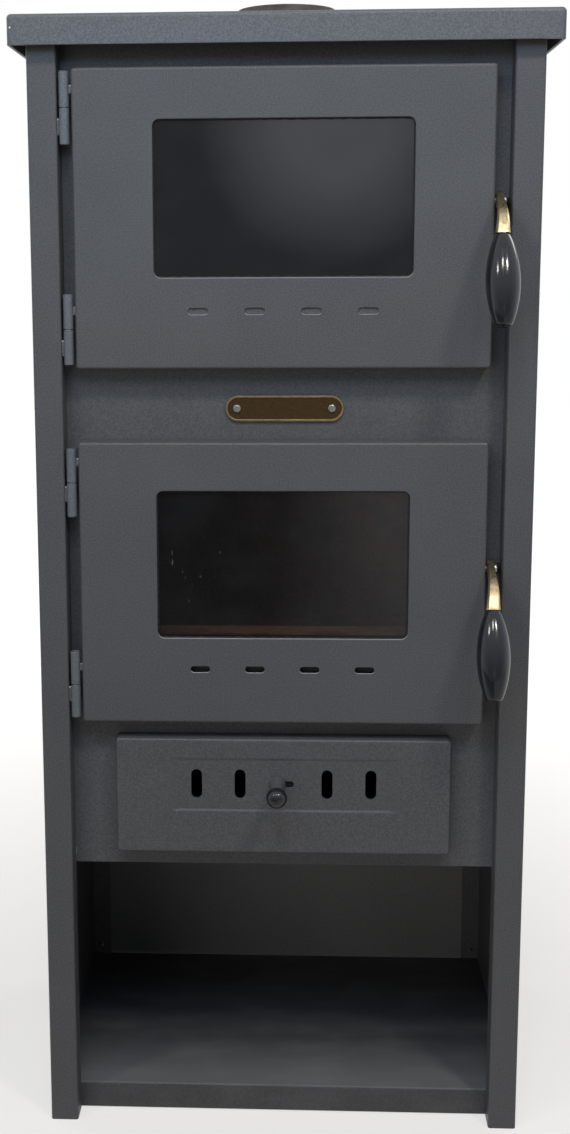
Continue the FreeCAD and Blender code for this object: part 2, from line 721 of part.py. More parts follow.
os.makedirs("parts", exist_ok=True)
top_plate()
flue_spigot()
side_panels()
back_panel()
front_panel()
wood_store()
combustion_casing()
fire_bed()
fire_bricks()
oven()
for door, door_bottom in door_bottoms.items():
    door_panel(door, door_bottom)
    glazing(door, door_bottom)
    door_seal(door, door_bottom)
    hinges(door, door_bottom)
    handle(door, door_bottom)
oven_slot_cover()
ash_drawer()
badge()
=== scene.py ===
import bmesh
import bpy
import numpy as np
from mathutils import Matrix, Vector


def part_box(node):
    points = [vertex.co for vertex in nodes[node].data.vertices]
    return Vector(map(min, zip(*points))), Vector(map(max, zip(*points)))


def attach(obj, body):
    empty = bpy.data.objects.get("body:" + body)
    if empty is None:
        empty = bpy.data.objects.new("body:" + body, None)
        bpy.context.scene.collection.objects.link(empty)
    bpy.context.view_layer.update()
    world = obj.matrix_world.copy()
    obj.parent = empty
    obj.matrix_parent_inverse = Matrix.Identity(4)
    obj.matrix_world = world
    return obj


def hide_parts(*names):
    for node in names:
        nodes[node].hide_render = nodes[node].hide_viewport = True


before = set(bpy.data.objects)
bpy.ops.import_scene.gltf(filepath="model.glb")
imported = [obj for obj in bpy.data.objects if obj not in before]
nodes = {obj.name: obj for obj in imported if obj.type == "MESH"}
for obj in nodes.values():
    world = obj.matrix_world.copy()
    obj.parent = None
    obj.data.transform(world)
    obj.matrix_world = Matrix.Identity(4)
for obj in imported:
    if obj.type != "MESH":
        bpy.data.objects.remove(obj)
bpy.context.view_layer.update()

# ---------------------------------------------------------------- side panels
# Each side is one sheet of 2 mm steel, folded into the side wall, the front post, its return flange and a
# narrow rear flange. It stands on the floor on its lower edge. The paint is a fine-textured satin anthracite.

MM = 0.001


def finish(name, colour, roughness, metallic=0.0):
    """New material with its plain values set on the Principled shader's own sockets."""
    material = bpy.data.materials.new(name)
    material.use_nodes = True
    shader = material.node_tree.nodes["Principled BSDF"]
    shader.inputs["Base Color"].default_value = (*colour, 1.0)
    shader.inputs["Roughness"].default_value = roughness
    shader.inputs["Metallic"].default_value = metallic
    return material, material.node_tree, shader


def mottle(tree, size, detail=2.0, stretch=(1, 1, 1)):
    """Soft cloudy pattern in the piece's own coordinates. Its patches are about size metres across, and
    stretch makes them longer along an axis."""
    place = tree.nodes.new("ShaderNodeTexCoord")
    turn = tree.nodes.new("ShaderNodeMapping")
    turn.inputs["Scale"].default_value = [1.0 / s for s in stretch]
    cloud = tree.nodes.new("ShaderNodeTexNoise")
    cloud.inputs["Scale"].default_value = 1.0 / size
    cloud.inputs["Detail"].default_value = detail
    tree.links.new(place.outputs["Object"], turn.inputs["Vector"])
    tree.links.new(turn.outputs["Vector"], cloud.inputs["Vector"])
    return cloud.outputs["Fac"]


def spread(tree, value, low, high, to_low=0.0, to_high=1.0):
    """Stretches the part of a pattern between low and high over a new range."""
    ramp = tree.nodes.new("ShaderNodeMapRange")
    ramp.inputs["From Min"].default_value = low
    ramp.inputs["From Max"].default_value = high
    ramp.inputs["To Min"].default_value = to_low
    ramp.inputs["To Max"].default_value = to_high
    tree.links.new(value, ramp.inputs["Value"])
    return ramp.outputs["Result"]


def tint(tree, share, under, over):
    """Colour that goes from under to over as share goes from 0 to 1. Each may be a colour or a socket."""
    mix = tree.nodes.new("ShaderNodeMix")
    mix.data_type = "RGBA"
    tree.links.new(share, mix.inputs["Factor"])
    for slot, colour in ((mix.inputs["A"], under), (mix.inputs["B"], over)):
        if isinstance(colour, tuple):
            slot.default_value = (*colour, 1.0)
        else:
            tree.links.new(colour, slot)
    return mix.outputs["Result"]


def grain(tree, shader, *layers):
    """Bumps the surface with patterns, each a socket and the height in metres that it stands for."""
    below = None
    for value, height in layers:
        bump = tree.nodes.new("ShaderNodeBump")
        bump.inputs["Distance"].default_value = height
        tree.links.new(value, bump.inputs["Height"])
        if below:
            tree.links.new(below, bump.inputs["Normal"])
        below = bump.outputs["Normal"]
    tree.links.new(below, shader.inputs["Normal"])


def coordinate(tree, axis, kind="Object"):
    """Place along one axis of the piece in metres. With kind Normal it is the surface's direction along the
    axis, and with kind Generated, in the world, the direction that a ray looks in."""
    place = tree.nodes.new("ShaderNodeTexCoord")
    axes = tree.nodes.new("ShaderNodeSeparateXYZ")
    tree.links.new(place.outputs[kind], axes.inputs["Vector"])
    return axes.outputs[axis]


def facing(tree, axis, low, high):
    """Share from 0 to 1 as the surface's direction along one axis of the piece goes from low to high."""
    return spread(tree, coordinate(tree, axis, "Normal"), low, high)


def combine(tree, operation, first, second):
    """One number out of two sockets."""
    node = tree.nodes.new("ShaderNodeMath")
    node.operation = operation
    tree.links.new(first, node.inputs[0])
    tree.links.new(second, node.inputs[1])
    return node.outputs[0]


def near(tree, point, outer, inner, far=0.0, close=1.0, kind="Object"):
    """Number that goes from far to close as the distance to a point goes from outer to inner, in metres."""
    place = tree.nodes.new("ShaderNodeTexCoord")
    gap = tree.nodes.new("ShaderNodeVectorMath")
    gap.operation = "DISTANCE"
    gap.inputs[1].default_value = point
    tree.links.new(place.outputs[kind], gap.inputs[0])
    return spread(tree, gap.outputs["Value"], outer, inner, far, close)


def stove_paint(name, colour=(0.0675, 0.066, 0.069), dust_and_light_front=None, lit_lips=None, chip=None):
    """Satin heat-proof paint: a fine sprayed grain over a faint cloudiness. It may have dust, with a painted
    pool of light that brightens faces that face up towards a front edge, a height range in which edges that
    face up get a painted highlight, and a chip."""
    material, tree, shader = finish(name, colour, 0.5)
    cloud = spread(tree, mottle(tree, 0.09, 3.0), 0.35, 0.65)
    tone = tint(tree, cloud, tuple(0.94 * c for c in colour), tuple(1.07 * c for c in colour))
    fleck = spread(tree, mottle(tree, 0.0014, 2.0), 0.35, 0.7, 0.0, 0.75)
    tone = tint(tree, fleck, tone, tuple(1.8 * c for c in colour))
    if dust_and_light_front:
        # Painted light: faces that face up brighten towards the front edge like a pool of light; the mottle
        # below is real dust.
        painted_light_pool = spread(tree, coordinate(tree, "Y"), dust_and_light_front + 110 * MM, dust_and_light_front + 20 * MM, 0.0, 0.6)
        painted_light_pool = combine(tree, "MULTIPLY", painted_light_pool, facing(tree, "Z", 0.7, 0.95))
        dust_and_light = spread(tree, mottle(tree, 0.03, 6.0, (2.2, 1, 1)), 0.45, 0.75, 0.0, 0.15)
        dust_and_light = combine(tree, "ADD", dust_and_light, painted_light_pool)
        tone = tint(tree, dust_and_light, tone, (0.24, 0.24, 0.24))
    if lit_lips:
        # Painted highlight: edges that face up in this height range are lightened as if catching the light.
        above = spread(tree, coordinate(tree, "Z"), lit_lips[0], lit_lips[0] + 0.2 * MM)
        under = spread(tree, coordinate(tree, "Z"), lit_lips[1] + 0.2 * MM, lit_lips[1])
        inside = combine(tree, "MULTIPLY", above, under)
        lip_highlight = combine(tree, "MULTIPLY", inside, facing(tree, "Z", 0.2, 0.6))
        tone = tint(tree, lip_highlight, tone, (0.38, 0.38, 0.385))
    if chip:
        tone = tint(tree, near(tree, chip, 1.0 * MM, 0.7 * MM), tone, (0.75, 0.74, 0.72))
    tree.links.new(tone, shader.inputs["Base Color"])
    tree.links.new(spread(tree, mottle(tree, 0.05, 4.0), 0.3, 0.7, 0.4, 0.52), shader.inputs["Roughness"])
    grain(tree, shader, (mottle(tree, 0.012, 2.0), 0.00006), (mottle(tree, 0.0008, 2.0), 0.00005))
    return material


def skin(name, grids, material, lids=False, sharp=32):
    """Object from grids of points, rows by columns, where each four neighbours make one face. Points at one
    place are merged, which closes what comes back to its start, and lids close the first and last row."""
    points, faces, count = [], [], 0
    for grid in grids:
        rows, columns = grid.shape[:2]
        index = count + np.arange(rows * columns).reshape(rows, columns)
        corners = (index[:-1, :-1], index[:-1, 1:], index[1:, 1:], index[1:, :-1])
        faces += np.stack(corners, -1).reshape(-1, 4).tolist()
        if lids:
            faces += [index[0, :-1].tolist(), index[-1, :-1].tolist()]
        points.append(grid.reshape(-1, 3))
        count += rows * columns
    mesh = bpy.data.meshes.new(name)
    mesh.from_pydata(np.concatenate(points).tolist(), [], faces)
    shell = bmesh.new()
    shell.from_mesh(mesh)
    bmesh.ops.remove_doubles(shell, verts=shell.verts, dist=1e-6)
    bmesh.ops.recalc_face_normals(shell, faces=shell.faces)
    shell.to_mesh(mesh)
    shell.free()
    smooth(mesh, sharp)
    mesh.materials.append(material)
    piece = bpy.data.objects.new(name, mesh)
    bpy.context.scene.collection.objects.link(piece)
    return piece


def smooth(mesh, sharp=32):
    """Shades a mesh smooth, except across edges that turn by more than the angle in degrees."""
    mesh.shade_smooth()
    mesh.set_sharp_from_angle(angle=np.radians(sharp))


def folded_outline(corners, radius, thickness, steps=8, soft=0.3 * MM):
    """Section of a sheet folded at right angles. Its middle line runs straight between quarter circles, its
    two faces lie half a thickness to each side, and its free ends are rounded off a little."""
    corners = np.array(corners, float)
    way = np.diff(corners, axis=0)
    way /= np.linalg.norm(way, axis=1)[:, None]
    turn = np.linspace(0, np.pi / 2, steps + 1)[:, None]
    line, heading = [corners[:1] + way[:1] * soft], [way[:1]]
    for corner, a, b in zip(corners[1:-1], way[:-1], way[1:]):
        arc = corner - a * radius + a * radius * np.sin(turn) + b * radius * (1 - np.cos(turn))
        line += [[corner - a * (radius + soft)], arc, [corner + b * (radius + soft)]]
        heading += [[a], a * np.cos(turn) + b * np.sin(turn), [b]]
    line += [corners[-1:] - way[-1:] * soft]
    heading += [way[-1:]]
    line, heading = np.concatenate(line), np.concatenate(heading)
    out = np.stack((heading[:, 1], -heading[:, 0]), -1)
    half = thickness / 2
    tips = [corners[-1] + out[-1] * (half - soft), corners[-1] - out[-1] * (half - soft)]
    tails = [corners[0] - out[0] * (half - soft), corners[0] + out[0] * (half - soft)]
    outline = np.concatenate((line + out * half, tips, (line - out * half)[::-1], tails))
    return np.concatenate((outline, outline[:1]))


paint = stove_paint("stove_paint")
SHEET = 2.0 * MM
RETURN_FLANGE = 26.0 * MM
REAR_FLANGE = 22.0 * MM
FOLD = 1.4 * MM

for side, mirror in (("right", 1), ("left", -1)):
    low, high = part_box("side_panel_right")
    half = SHEET / 2
    path = [
        (low.x + half, low.y + RETURN_FLANGE), (low.x + half, low.y + half), (high.x - half, low.y + half),
        (high.x - half, high.y - half), (high.x - REAR_FLANGE, high.y - half),
    ]
    outline = folded_outline(path, FOLD, SHEET)
    levels = np.array([low.z, low.z + 1 * MM, high.z - 1 * MM, high.z])
    grid = np.zeros((len(levels), len(outline), 3))
    grid[..., :2] = outline * (mirror, 1)
    grid[..., 2] = levels[:, None]
    panel = skin("side_sheet_" + side, [grid], paint, lids=True)
    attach(panel, "stove")
    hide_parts("side_panel_" + side)

# ---------------------------------------------------------------- back panel and its screws
# A flat sheet closes the back. It is fixed to the rear flanges with eight small pan head screws, which are
# bright zinc plated.


def zinc_plate(name):
    """Bright zinc: a pale bluish metal with faint cloudy dull patches."""
    material, tree, shader = finish(name, (0.62, 0.63, 0.64), 0.32, 1.0)
    dull = spread(tree, mottle(tree, 0.002, 3.0), 0.4, 0.7)
    tree.links.new(tint(tree, dull, (0.66, 0.67, 0.68), (0.5, 0.49, 0.46)), shader.inputs["Base Color"])
    tree.links.new(spread(tree, mottle(tree, 0.0012, 2.0), 0.3, 0.7, 0.24, 0.42), shader.inputs["Roughness"])
    return material


def wear(node, material):
    """Gives a node of the frame its finish."""
    nodes[node].data.materials.clear()
    nodes[node].data.materials.append(material)


zinc = zinc_plate("zinc_plate")
# The back panel's paint is lighter than the body's, as painted light on the back of the wood store.
wear("back_panel", stove_paint("lightened_back_paint", (0.13, 0.128, 0.13)))
wear("back_panel_screws", zinc)

# ---------------------------------------------------------------- front panel
# One flat sheet stands between the posts behind the doors and the drawer, with an opening for each.
# It is held by short welds to the return flanges, and one of them shows as a pale smear low on the left.

RIPPLE = 1.1 * MM
WELD_RISE = 11 * MM
WELD_LENGTH = 8 * MM
WELD_RADIUS = 0.9 * MM


def weld_run(name, start, end, radius, material, seed=1):
    """Bead of weld: a tube along a line whose radius swells and shrinks in even ripples, and comes to a
    point at both ends like half a wave."""
    start, end = np.array(start), np.array(end)
    share = np.linspace(0, 1, 25)[:, None]
    around = np.linspace(0, 2 * np.pi, 13)[None, :]
    length = np.linalg.norm(end - start)
    forward = (end - start) / length
    side = np.cross(forward, (0.31, 0.27, 0.91))
    side /= np.linalg.norm(side)
    up = np.cross(side, forward)
    ripple = 1 + 0.12 * np.sin(share * length / RIPPLE * np.pi + seed + 0.6 * np.cos(around))
    size = radius * np.sqrt(np.sin(np.pi * share).clip(0)) * ripple
    ring = np.cos(around)[..., None] * side + np.sin(around)[..., None] * up
    return skin(name, [start + (end - start) * share[..., None] + size[..., None] * ring], material, sharp=60)


wear("front_panel", paint)
weld_paint = stove_paint("weld_paint", (0.17, 0.172, 0.178))
low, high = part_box("front_panel")
post_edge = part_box("side_panel_left")[1].x
spot = np.array((post_edge, low.y - 0.1 * MM, low.z + WELD_RISE))
up = np.array((0, 0, WELD_LENGTH / 2))
weld = weld_run("panel_weld", spot - up, spot + up, WELD_RADIUS, weld_paint)
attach(weld, "stove")

# ---------------------------------------------------------------- wood store
# The floor is a sheet folded down at the front into a lip that stops just above the ground. Logs have
# rubbed it, so dust and scuffs lie on the paint. Its paint is darker than the body's as painted shade, and a
# painted pool of light brightens it near the front. The roof closes the ash bay.

low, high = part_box("wood_store_floor")
# The floor's paint is darker than the body's as painted shade, and its dust carries a painted pool of light
# near the front.
store_paint = stove_paint("store_floor_paint", (0.044, 0.043, 0.045), low.y)
half = SHEET / 2
path = [(low.y + half, low.z), (low.y + half, high.z - half), (high.y, high.z - half)]
outline = folded_outline(path, FOLD, SHEET)
spans = np.linspace(low.x, high.x, 9)
grid = np.zeros((len(spans), len(outline), 3))
grid[..., 0] = spans[:, None]
grid[..., 1:] = outline
floor_sheet = skin("store_floor_sheet", [grid], store_paint, lids=True)
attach(floor_sheet, "stove")
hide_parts("wood_store_floor")
wear("wood_store_roof", paint)

# ---------------------------------------------------------------- casing, fire bed and grate
# Behind the front panel a U of 2.5 mm plate holds the fire. The bed plate carries a cast iron grate, and
# both are dull and sooty.


def sooty_steel(name, colour=(0.11, 0.1, 0.095)):
    """Rolled steel that has seen fire: grey-brown scale with soot in soft patches."""
    material, tree, shader = finish(name, colour, 0.6, 0.6)
    soot = spread(tree, mottle(tree, 0.04, 5.0), 0.42, 0.62)
    tone = tint(tree, soot, colour, (0.02, 0.019, 0.018))
    tree.links.new(tone, shader.inputs["Base Color"])
    tree.links.new(spread(tree, mottle(tree, 0.01, 3.0), 0.3, 0.7, 0.5, 0.75), shader.inputs["Roughness"])
    grain(tree, shader, (mottle(tree, 0.0016, 3.0), 0.0001))
    return material


def cast_iron(name):
    """Cast iron: near black, with the coarse grain of the sand mould."""
    material, tree, shader = finish(name, (0.045, 0.043, 0.042), 0.62, 0.7)
    rust = spread(tree, mottle(tree, 0.02, 5.0), 0.58, 0.75, 0.0, 0.7)
    tree.links.new(tint(tree, rust, (0.045, 0.043, 0.042), (0.13, 0.06, 0.03)), shader.inputs["Base Color"])
    grain(tree, shader, (mottle(tree, 0.0025, 3.0), 0.0003), (mottle(tree, 0.0007, 2.0), 0.0001))
    return material


fire_steel = sooty_steel("fire_steel")
wear("combustion_casing", fire_steel)
wear("fire_bed", fire_steel)
wear("fire_grate", cast_iron("grate_iron"))

# ---------------------------------------------------------------- fire bricks
# Pressed chamotte bricks stand loose against the casing. They are rough and orange-buff, and soot has
# greyed them in patches. A low one in front keeps logs off the glass.


def fire_brick(name):
    """Pressed fire brick: orange-buff clay with darker grog, pores and smoke stains."""
    material, tree, shader = finish(name, (0.58, 0.25, 0.11), 0.9)
    grog = spread(tree, mottle(tree, 0.003, 3.0), 0.5, 0.7)
    clay = tint(tree, grog, (0.6, 0.255, 0.11), (0.36, 0.14, 0.06))
    smoke = spread(tree, mottle(tree, 0.06, 4.0), 0.45, 0.7, 0.0, 0.8)
    tree.links.new(tint(tree, smoke, clay, (0.07, 0.05, 0.042)), shader.inputs["Base Color"])
    grain(tree, shader, (mottle(tree, 0.004, 4.0), 0.0006), (mottle(tree, 0.001, 2.0), 0.0003))
    return material


brick = fire_brick("fire_brick")
for node in ("bricks_left", "bricks_right", "bricks_back", "brick_log_guard"):
    wear(node, brick)

# ---------------------------------------------------------------- oven
# A box of dark sheet sits in the casing behind the upper door. Angle rails carry a plated wire shelf. A
# plate behind the box sends the smoke round its sides.

oven_sheet = stove_paint("oven_sheet", (0.03, 0.03, 0.031))
plated_wire = zinc_plate("plated_wire")
wear("oven_box", oven_sheet)
wear("oven_shelf_rails", oven_sheet)
wear("oven_shelf", plated_wire)
wear("smoke_baffle", fire_steel)

# ---------------------------------------------------------------- top plate
# The plate is pressed from 3 mm sheet with a skirt all round and soft corners. It drops over the body. Near
# the back a round hole, chamfered for the weld, takes the flue. A chip of paint is missing at the left.


def soft_rectangle(x0, x1, z0, z1, radius, quarter=8, side=8):
    """Outline of a rectangle with round corners, anticlockwise. Each corner is a quarter circle of the same
    number of points and each side a straight row of them, so outlines of any two sizes match point by
    point. The first point comes again at the end."""
    turn = np.linspace(0, np.pi / 2, quarter + 1)
    inwards = np.array([(-1, 1), (-1, -1), (1, -1), (1, 1)])
    centres = np.array([(x1, z0), (x1, z1), (x0, z1), (x0, z0)]) + radius * inwards
    angles = turn + np.radians((-90, 0, 90, 180))[:, None]
    arcs = centres[:, None] + radius * np.stack((np.cos(angles), np.sin(angles)), -1)
    share = (np.arange(1, side + 1) / (side + 1))[None, :, None]
    ends, starts = arcs[:, -1:], np.roll(arcs, -1, axis=0)[:, :1]
    rows = np.concatenate((arcs, ends + (starts - ends) * share), axis=1).reshape(-1, 2)
    return np.concatenate((rows, rows[:1]))


def quarter_turn(radius, steps=6):
    """Offsets of a quarter circle that leaves a face and ends square to it: how far it has still to go
    sideways, and how deep it has gone."""
    turn = np.linspace(0, np.pi / 2, steps + 1)
    return radius * (1 - np.sin(turn)), radius * (1 - np.cos(turn))


def tray_stations(depth, bend, wall, hem=0.3 * MM):
    """Walk over a pressed tray from its flat front, round the bend, down the side wall, round the free edge
    and back up inside, as (inset from the outer outline, depth) pairs."""
    inset, drop = quarter_turn(bend, 8)
    inner_in, inner_drop = quarter_turn(bend - wall, 8)
    out = [(bend + 0.6 * MM, 0.0)]
    out += list(zip(inset, drop))
    out += [(0.0, bend + 0.6 * MM), (0.0, depth - hem - 0.6 * MM)]
    out += [(0.0, depth - hem), (0.3 * hem, depth - 0.3 * hem), (hem, depth)]
    out += [(wall - hem, depth), (wall - 0.3 * hem, depth - 0.3 * hem), (wall, depth - hem)]
    out += [(wall, bend + 0.6 * MM)]
    out += [(wall + i, wall + d) for i, d in zip(inner_in[::-1], inner_drop[::-1])]
    out += [(bend + 0.6 * MM, wall)]
    return out


PLATE_SHEET = 3.0 * MM
PLATE_BEND = 4.0 * MM
PLATE_CORNER = 4.0 * MM
low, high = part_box("top_plate")
flue_low, flue_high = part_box("flue_spigot")
flue_centre = np.array(((flue_low.x + flue_high.x) / 2, (flue_low.y + flue_high.y) / 2))
FLUE_HOLE = 50.1 * MM
FLUE_GROOVE = 3.4 * MM


def plate_outline(inset):
    """Outline of the plate seen from above, at a distance inside its outer edge."""
    corner = max(PLATE_CORNER - inset, 0.2 * MM)
    return soft_rectangle(low.x + inset, high.x - inset, low.y + inset, high.y - inset, corner, 8, 16)


def plate_row(inset, drop):
    """Row of points round the plate at one inset and one depth below its top."""
    outline = plate_outline(inset)
    return np.column_stack((outline, np.full(len(outline), high.z - drop)))


def hole_row(radius, drop):
    """Row of points round the flue's hole: each lies in the direction of its point on the plate's edge."""
    way = plate_outline(0.0) - flue_centre
    way /= np.linalg.norm(way, axis=1)[:, None]
    circle = flue_centre + radius * way
    return np.column_stack((circle, np.full(len(circle), high.z - drop)))


def ramp_rows(first, last, steps):
    """Rows that go evenly from one row to another, without the two themselves."""
    return [first + (last - first) * s for s in np.linspace(0, 1, steps + 1)[1:-1]]


stations = [plate_row(i, d) for i, d in tray_stations(high.z - low.z, PLATE_BEND, PLATE_SHEET)]
edge = [hole_row(FLUE_HOLE + FLUE_GROOVE, 0.0), hole_row(FLUE_HOLE, 2.0 * MM),
        hole_row(FLUE_HOLE, PLATE_SHEET - 0.3 * MM), hole_row(FLUE_HOLE + 0.3 * MM, PLATE_SHEET)]
rows = ramp_rows(edge[0], stations[0], 8) + stations + ramp_rows(stations[-1], edge[3], 8) + edge[::-1]
chip_place = (low.x + 3.2 * MM, low.y + 0.1 * MM, high.z - 12 * MM)
# The plate's paint is a lighter copy of the body's paint, as painted light on the plate.
lit_plate_paint = stove_paint("lit_plate_paint", (0.086, 0.086, 0.09), chip=chip_place)
plate = skin("cooking_plate", [np.array(rows + rows[:1])], lit_plate_paint)
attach(plate, "stove")
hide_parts("top_plate")

# ---------------------------------------------------------------- flue collar
# A short length of rolled tube is welded into the plate, and the stove pipe slides over it. It was never
# painted with care: it is brownish and rough, and the weld round its foot is lumpy.


def turned(profile, start, axis, steps=48, swell=None):
    """Surface of a profile turned about an axis. The profile is pairs of distance along the axis and radius.
    swell, if given, scales the radius by place along the profile and angle round it."""
    profile = np.array(profile, float)
    axis = np.array(axis, float) / np.linalg.norm(axis)
    side = np.cross(axis, (0.0, 0.0, 1.0) if abs(axis[2]) < 0.9 else (0.0, 1.0, 0.0))
    side /= np.linalg.norm(side)
    up = np.cross(side, axis)
    around = np.linspace(0, 2 * np.pi, steps + 1)
    radius = profile[:, 1, None] * np.ones(steps + 1)
    if swell is not None:
        radius = radius * swell(profile[:, 0, None], around[None, :])
    ring = np.cos(around)[:, None] * side + np.sin(around)[:, None] * up
    return np.array(start) + profile[:, 0, None, None] * axis + radius[..., None] * ring


def flue_steel(name):
    """Weathered collar: grey-brown steel with heat tint, rust freckles and a rough face."""
    material, tree, shader = finish(name, (0.12, 0.1, 0.09), 0.62, 0.5)
    cloud = spread(tree, mottle(tree, 0.015, 5.0), 0.4, 0.65)
    tone = tint(tree, cloud, (0.13, 0.11, 0.1), (0.075, 0.062, 0.056))
    rust = spread(tree, mottle(tree, 0.004, 4.0), 0.6, 0.72, 0.0, 0.6)
    tree.links.new(tint(tree, rust, tone, (0.2, 0.1, 0.055)), shader.inputs["Base Color"])
    grain(tree, shader, (mottle(tree, 0.003, 4.0), 0.0003), (mottle(tree, 0.0009, 2.0), 0.0001))
    return material


FLUE_RADIUS = 50.0 * MM
FLUE_WALL = 3.0 * MM
FLUE_HEM = 0.5 * MM
BEAD = 3.6 * MM
rim = flue_high.z - flue_low.z
foot = high.z - flue_low.z
outer, inner, hem = FLUE_RADIUS, FLUE_RADIUS - FLUE_WALL, FLUE_HEM
profile = [
    (foot + 0.2 * MM, outer), (foot + BEAD + 1 * MM, outer), (rim - hem - 0.6 * MM, outer),
    (rim - hem, outer), (rim - 0.3 * hem, outer - 0.3 * hem), (rim, outer - hem), (rim, inner + hem),
    (rim - 0.3 * hem, inner + 0.3 * hem), (rim - hem, inner), (hem, inner), (0, inner + hem),
    (0, outer - hem), (hem, outer), (foot + 0.2 * MM, outer),
]
collar = turned(profile, (*flue_centre, flue_low.z), (0, 0, 1), 96)


def bead_ripple(along, around):
    """Weld ripples: short waves round the collar, and a slow wander of the bead's size."""
    return 1 + 0.003 * np.sin(around * 62) + 0.002 * np.sin(around * 5 + 1)


turn = np.linspace(0, 0.5 * np.pi, 7)
bead_profile = [(foot - 1.9 * MM, outer - 0.2 * MM), (foot - 1.7 * MM, outer + 0.1 * MM)]
bead_profile += [(foot + 0.2 * MM + BEAD * np.sin(t), outer + BEAD * np.cos(t) - 0.1 * MM) for t in turn]
bead_profile += [(foot + BEAD, outer - 0.4 * MM), bead_profile[0]]
bead = turned(bead_profile, (*flue_centre, flue_low.z), (0, 0, 1), 288, bead_ripple)
spigot = skin("flue_collar", [collar, bead], flue_steel("flue_steel"), sharp=50)
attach(spigot, "stove")
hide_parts("flue_spigot")

# ---------------------------------------------------------------- door panels
# Each door is one sheet pressed into a shallow tray and painted like the body. The window and the row of air
# slots are punched through it. The lips of the holes get a painted highlight where they face up. A painted
# strip closes the oven door's slots from behind.

DOORS = ("oven", "firebox")
DOOR_BEND = 2.6 * MM
DOOR_CORNER = 3.2 * MM
WINDOW_MARGIN = (9.75 * MM, 9.6 * MM)
WINDOW_CORNER = 6.5 * MM
SLOT_LENGTH = 18.5 * MM
SLOT_HEIGHT = 6.0 * MM
SLOT_PITCH = 52.0 * MM
SLOT_RISE = 52.5 * MM
LIP = 0.8 * MM


def upright_row(outline, y):
    """Row of points that stands in the plane of the front, at one depth."""
    return np.column_stack((outline[:, 0], np.full(len(outline), y), outline[:, 1]))


def inset_row(low, high, inset, y, corner, least=0.4 * MM, quarter=8, side=12):
    """Row of points round a piece that stands in the plane of the front: the piece's outline with round
    corners, moved inwards by inset. The corners' radius shrinks as much, but not below least."""
    outline = soft_rectangle(low.x + inset, high.x - inset, low.z + inset, high.z - inset,
                             max(corner - inset, least), quarter, side)
    return upright_row(outline, y)


def punch_tools(name, places, length, height, front, back, material):
    """Cutters for obround holes. Each widens like a trumpet where it meets either face of the sheet, so
    that the hole gets a rounded lip."""
    flare = [(-0.6, 1.0), (0.0, 0.45), (0.15, 0.18), (0.35, 0.05), (0.6, 0.0)]
    depths = [(front + d * MM, w * MM) for d, w in flare] + [(back - d * MM, w * MM) for d, w in flare[::-1]]
    grids = []
    for x, z in places:
        rows = []
        for y, widen in depths:
            long, tall = length / 2 + widen, height / 2 + widen
            outline = soft_rectangle(x - long, x + long, z - tall, z + tall, min(long, tall) * 0.999, 8, 3)
            rows.append(upright_row(outline, y))
        grids.append(np.array(rows))
    return skin(name, grids, material, lids=True)


def punch(sheet, tools, sharp=32):
    """Cuts the tools' shape out of a sheet and clears the tools away."""
    cut = sheet.modifiers.new("punch", "BOOLEAN")
    cut.operation = "DIFFERENCE"
    cut.solver = "EXACT"
    cut.object = tools
    bpy.context.view_layer.update()
    done = sheet.evaluated_get(bpy.context.evaluated_depsgraph_get())
    mesh = bpy.data.meshes.new_from_object(done)
    sheet.modifiers.clear()
    sheet.data = mesh
    smooth(mesh, sharp)
    flat = sheet.modifiers.new("flat_faces_stay_flat", "WEIGHTED_NORMAL")
    flat.keep_sharp = True
    bpy.data.objects.remove(tools)


for door in DOORS:
    low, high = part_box(door + "_door_panel")
    glass_low, glass_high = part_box(door + "_glass")
    margin = Vector((WINDOW_MARGIN[0], 0, WINDOW_MARGIN[1]))
    window_low, window_high = glass_low + margin, glass_high - margin
    stations = [inset_row(low, high, i, low.y + d, DOOR_CORNER)
                for i, d in tray_stations(high.y - low.y, DOOR_BEND, SHEET)]
    hem = [(LIP + 0.6 * MM, 0), (LIP, 0), (0.3 * LIP, 0.3 * LIP), (0, LIP)]
    lip = [inset_row(window_low, window_high, -w, low.y + d, WINDOW_CORNER) for w, d in hem]
    back_lip = [inset_row(window_low, window_high, -w, low.y + SHEET - d, WINDOW_CORNER) for w, d in hem]
    rows = lip[::-1] + ramp_rows(lip[0], stations[0], 6) + stations
    rows += ramp_rows(stations[-1], back_lip[0], 6) + back_lip
    slot_z = low.z + SLOT_RISE
    # The lips of the slots and the window's lower lip get a painted highlight where they face up.
    coat = stove_paint(door + "_door_paint", lit_lips=(slot_z - 6 * MM, window_low.z + 6 * MM))
    panel = skin(door + "_door_skin", [np.array(rows + rows[:1])], coat)
    middle = (window_low.x + window_high.x) / 2
    places = [(middle + (i - 1.5) * SLOT_PITCH, slot_z) for i in range(4)]
    punch(panel, punch_tools("slot_tools", places, SLOT_LENGTH, SLOT_HEIGHT, low.y, low.y + SHEET, coat))
    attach(panel, door + "_door")
    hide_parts(door + "_door_panel")
wear("oven_slot_cover", paint)

# ---------------------------------------------------------------- door glass
# Heat-proof glass, 4 mm thick with ground edges, sits behind each window. It mirrors what is in front of it
# faintly, and it is made partly opaque and near black as painted shade of the dark inside behind it. Smoke
# has left a thin film on the lower one.

PANE_CORNER = 5 * MM
PANE_HEM = 0.6 * MM


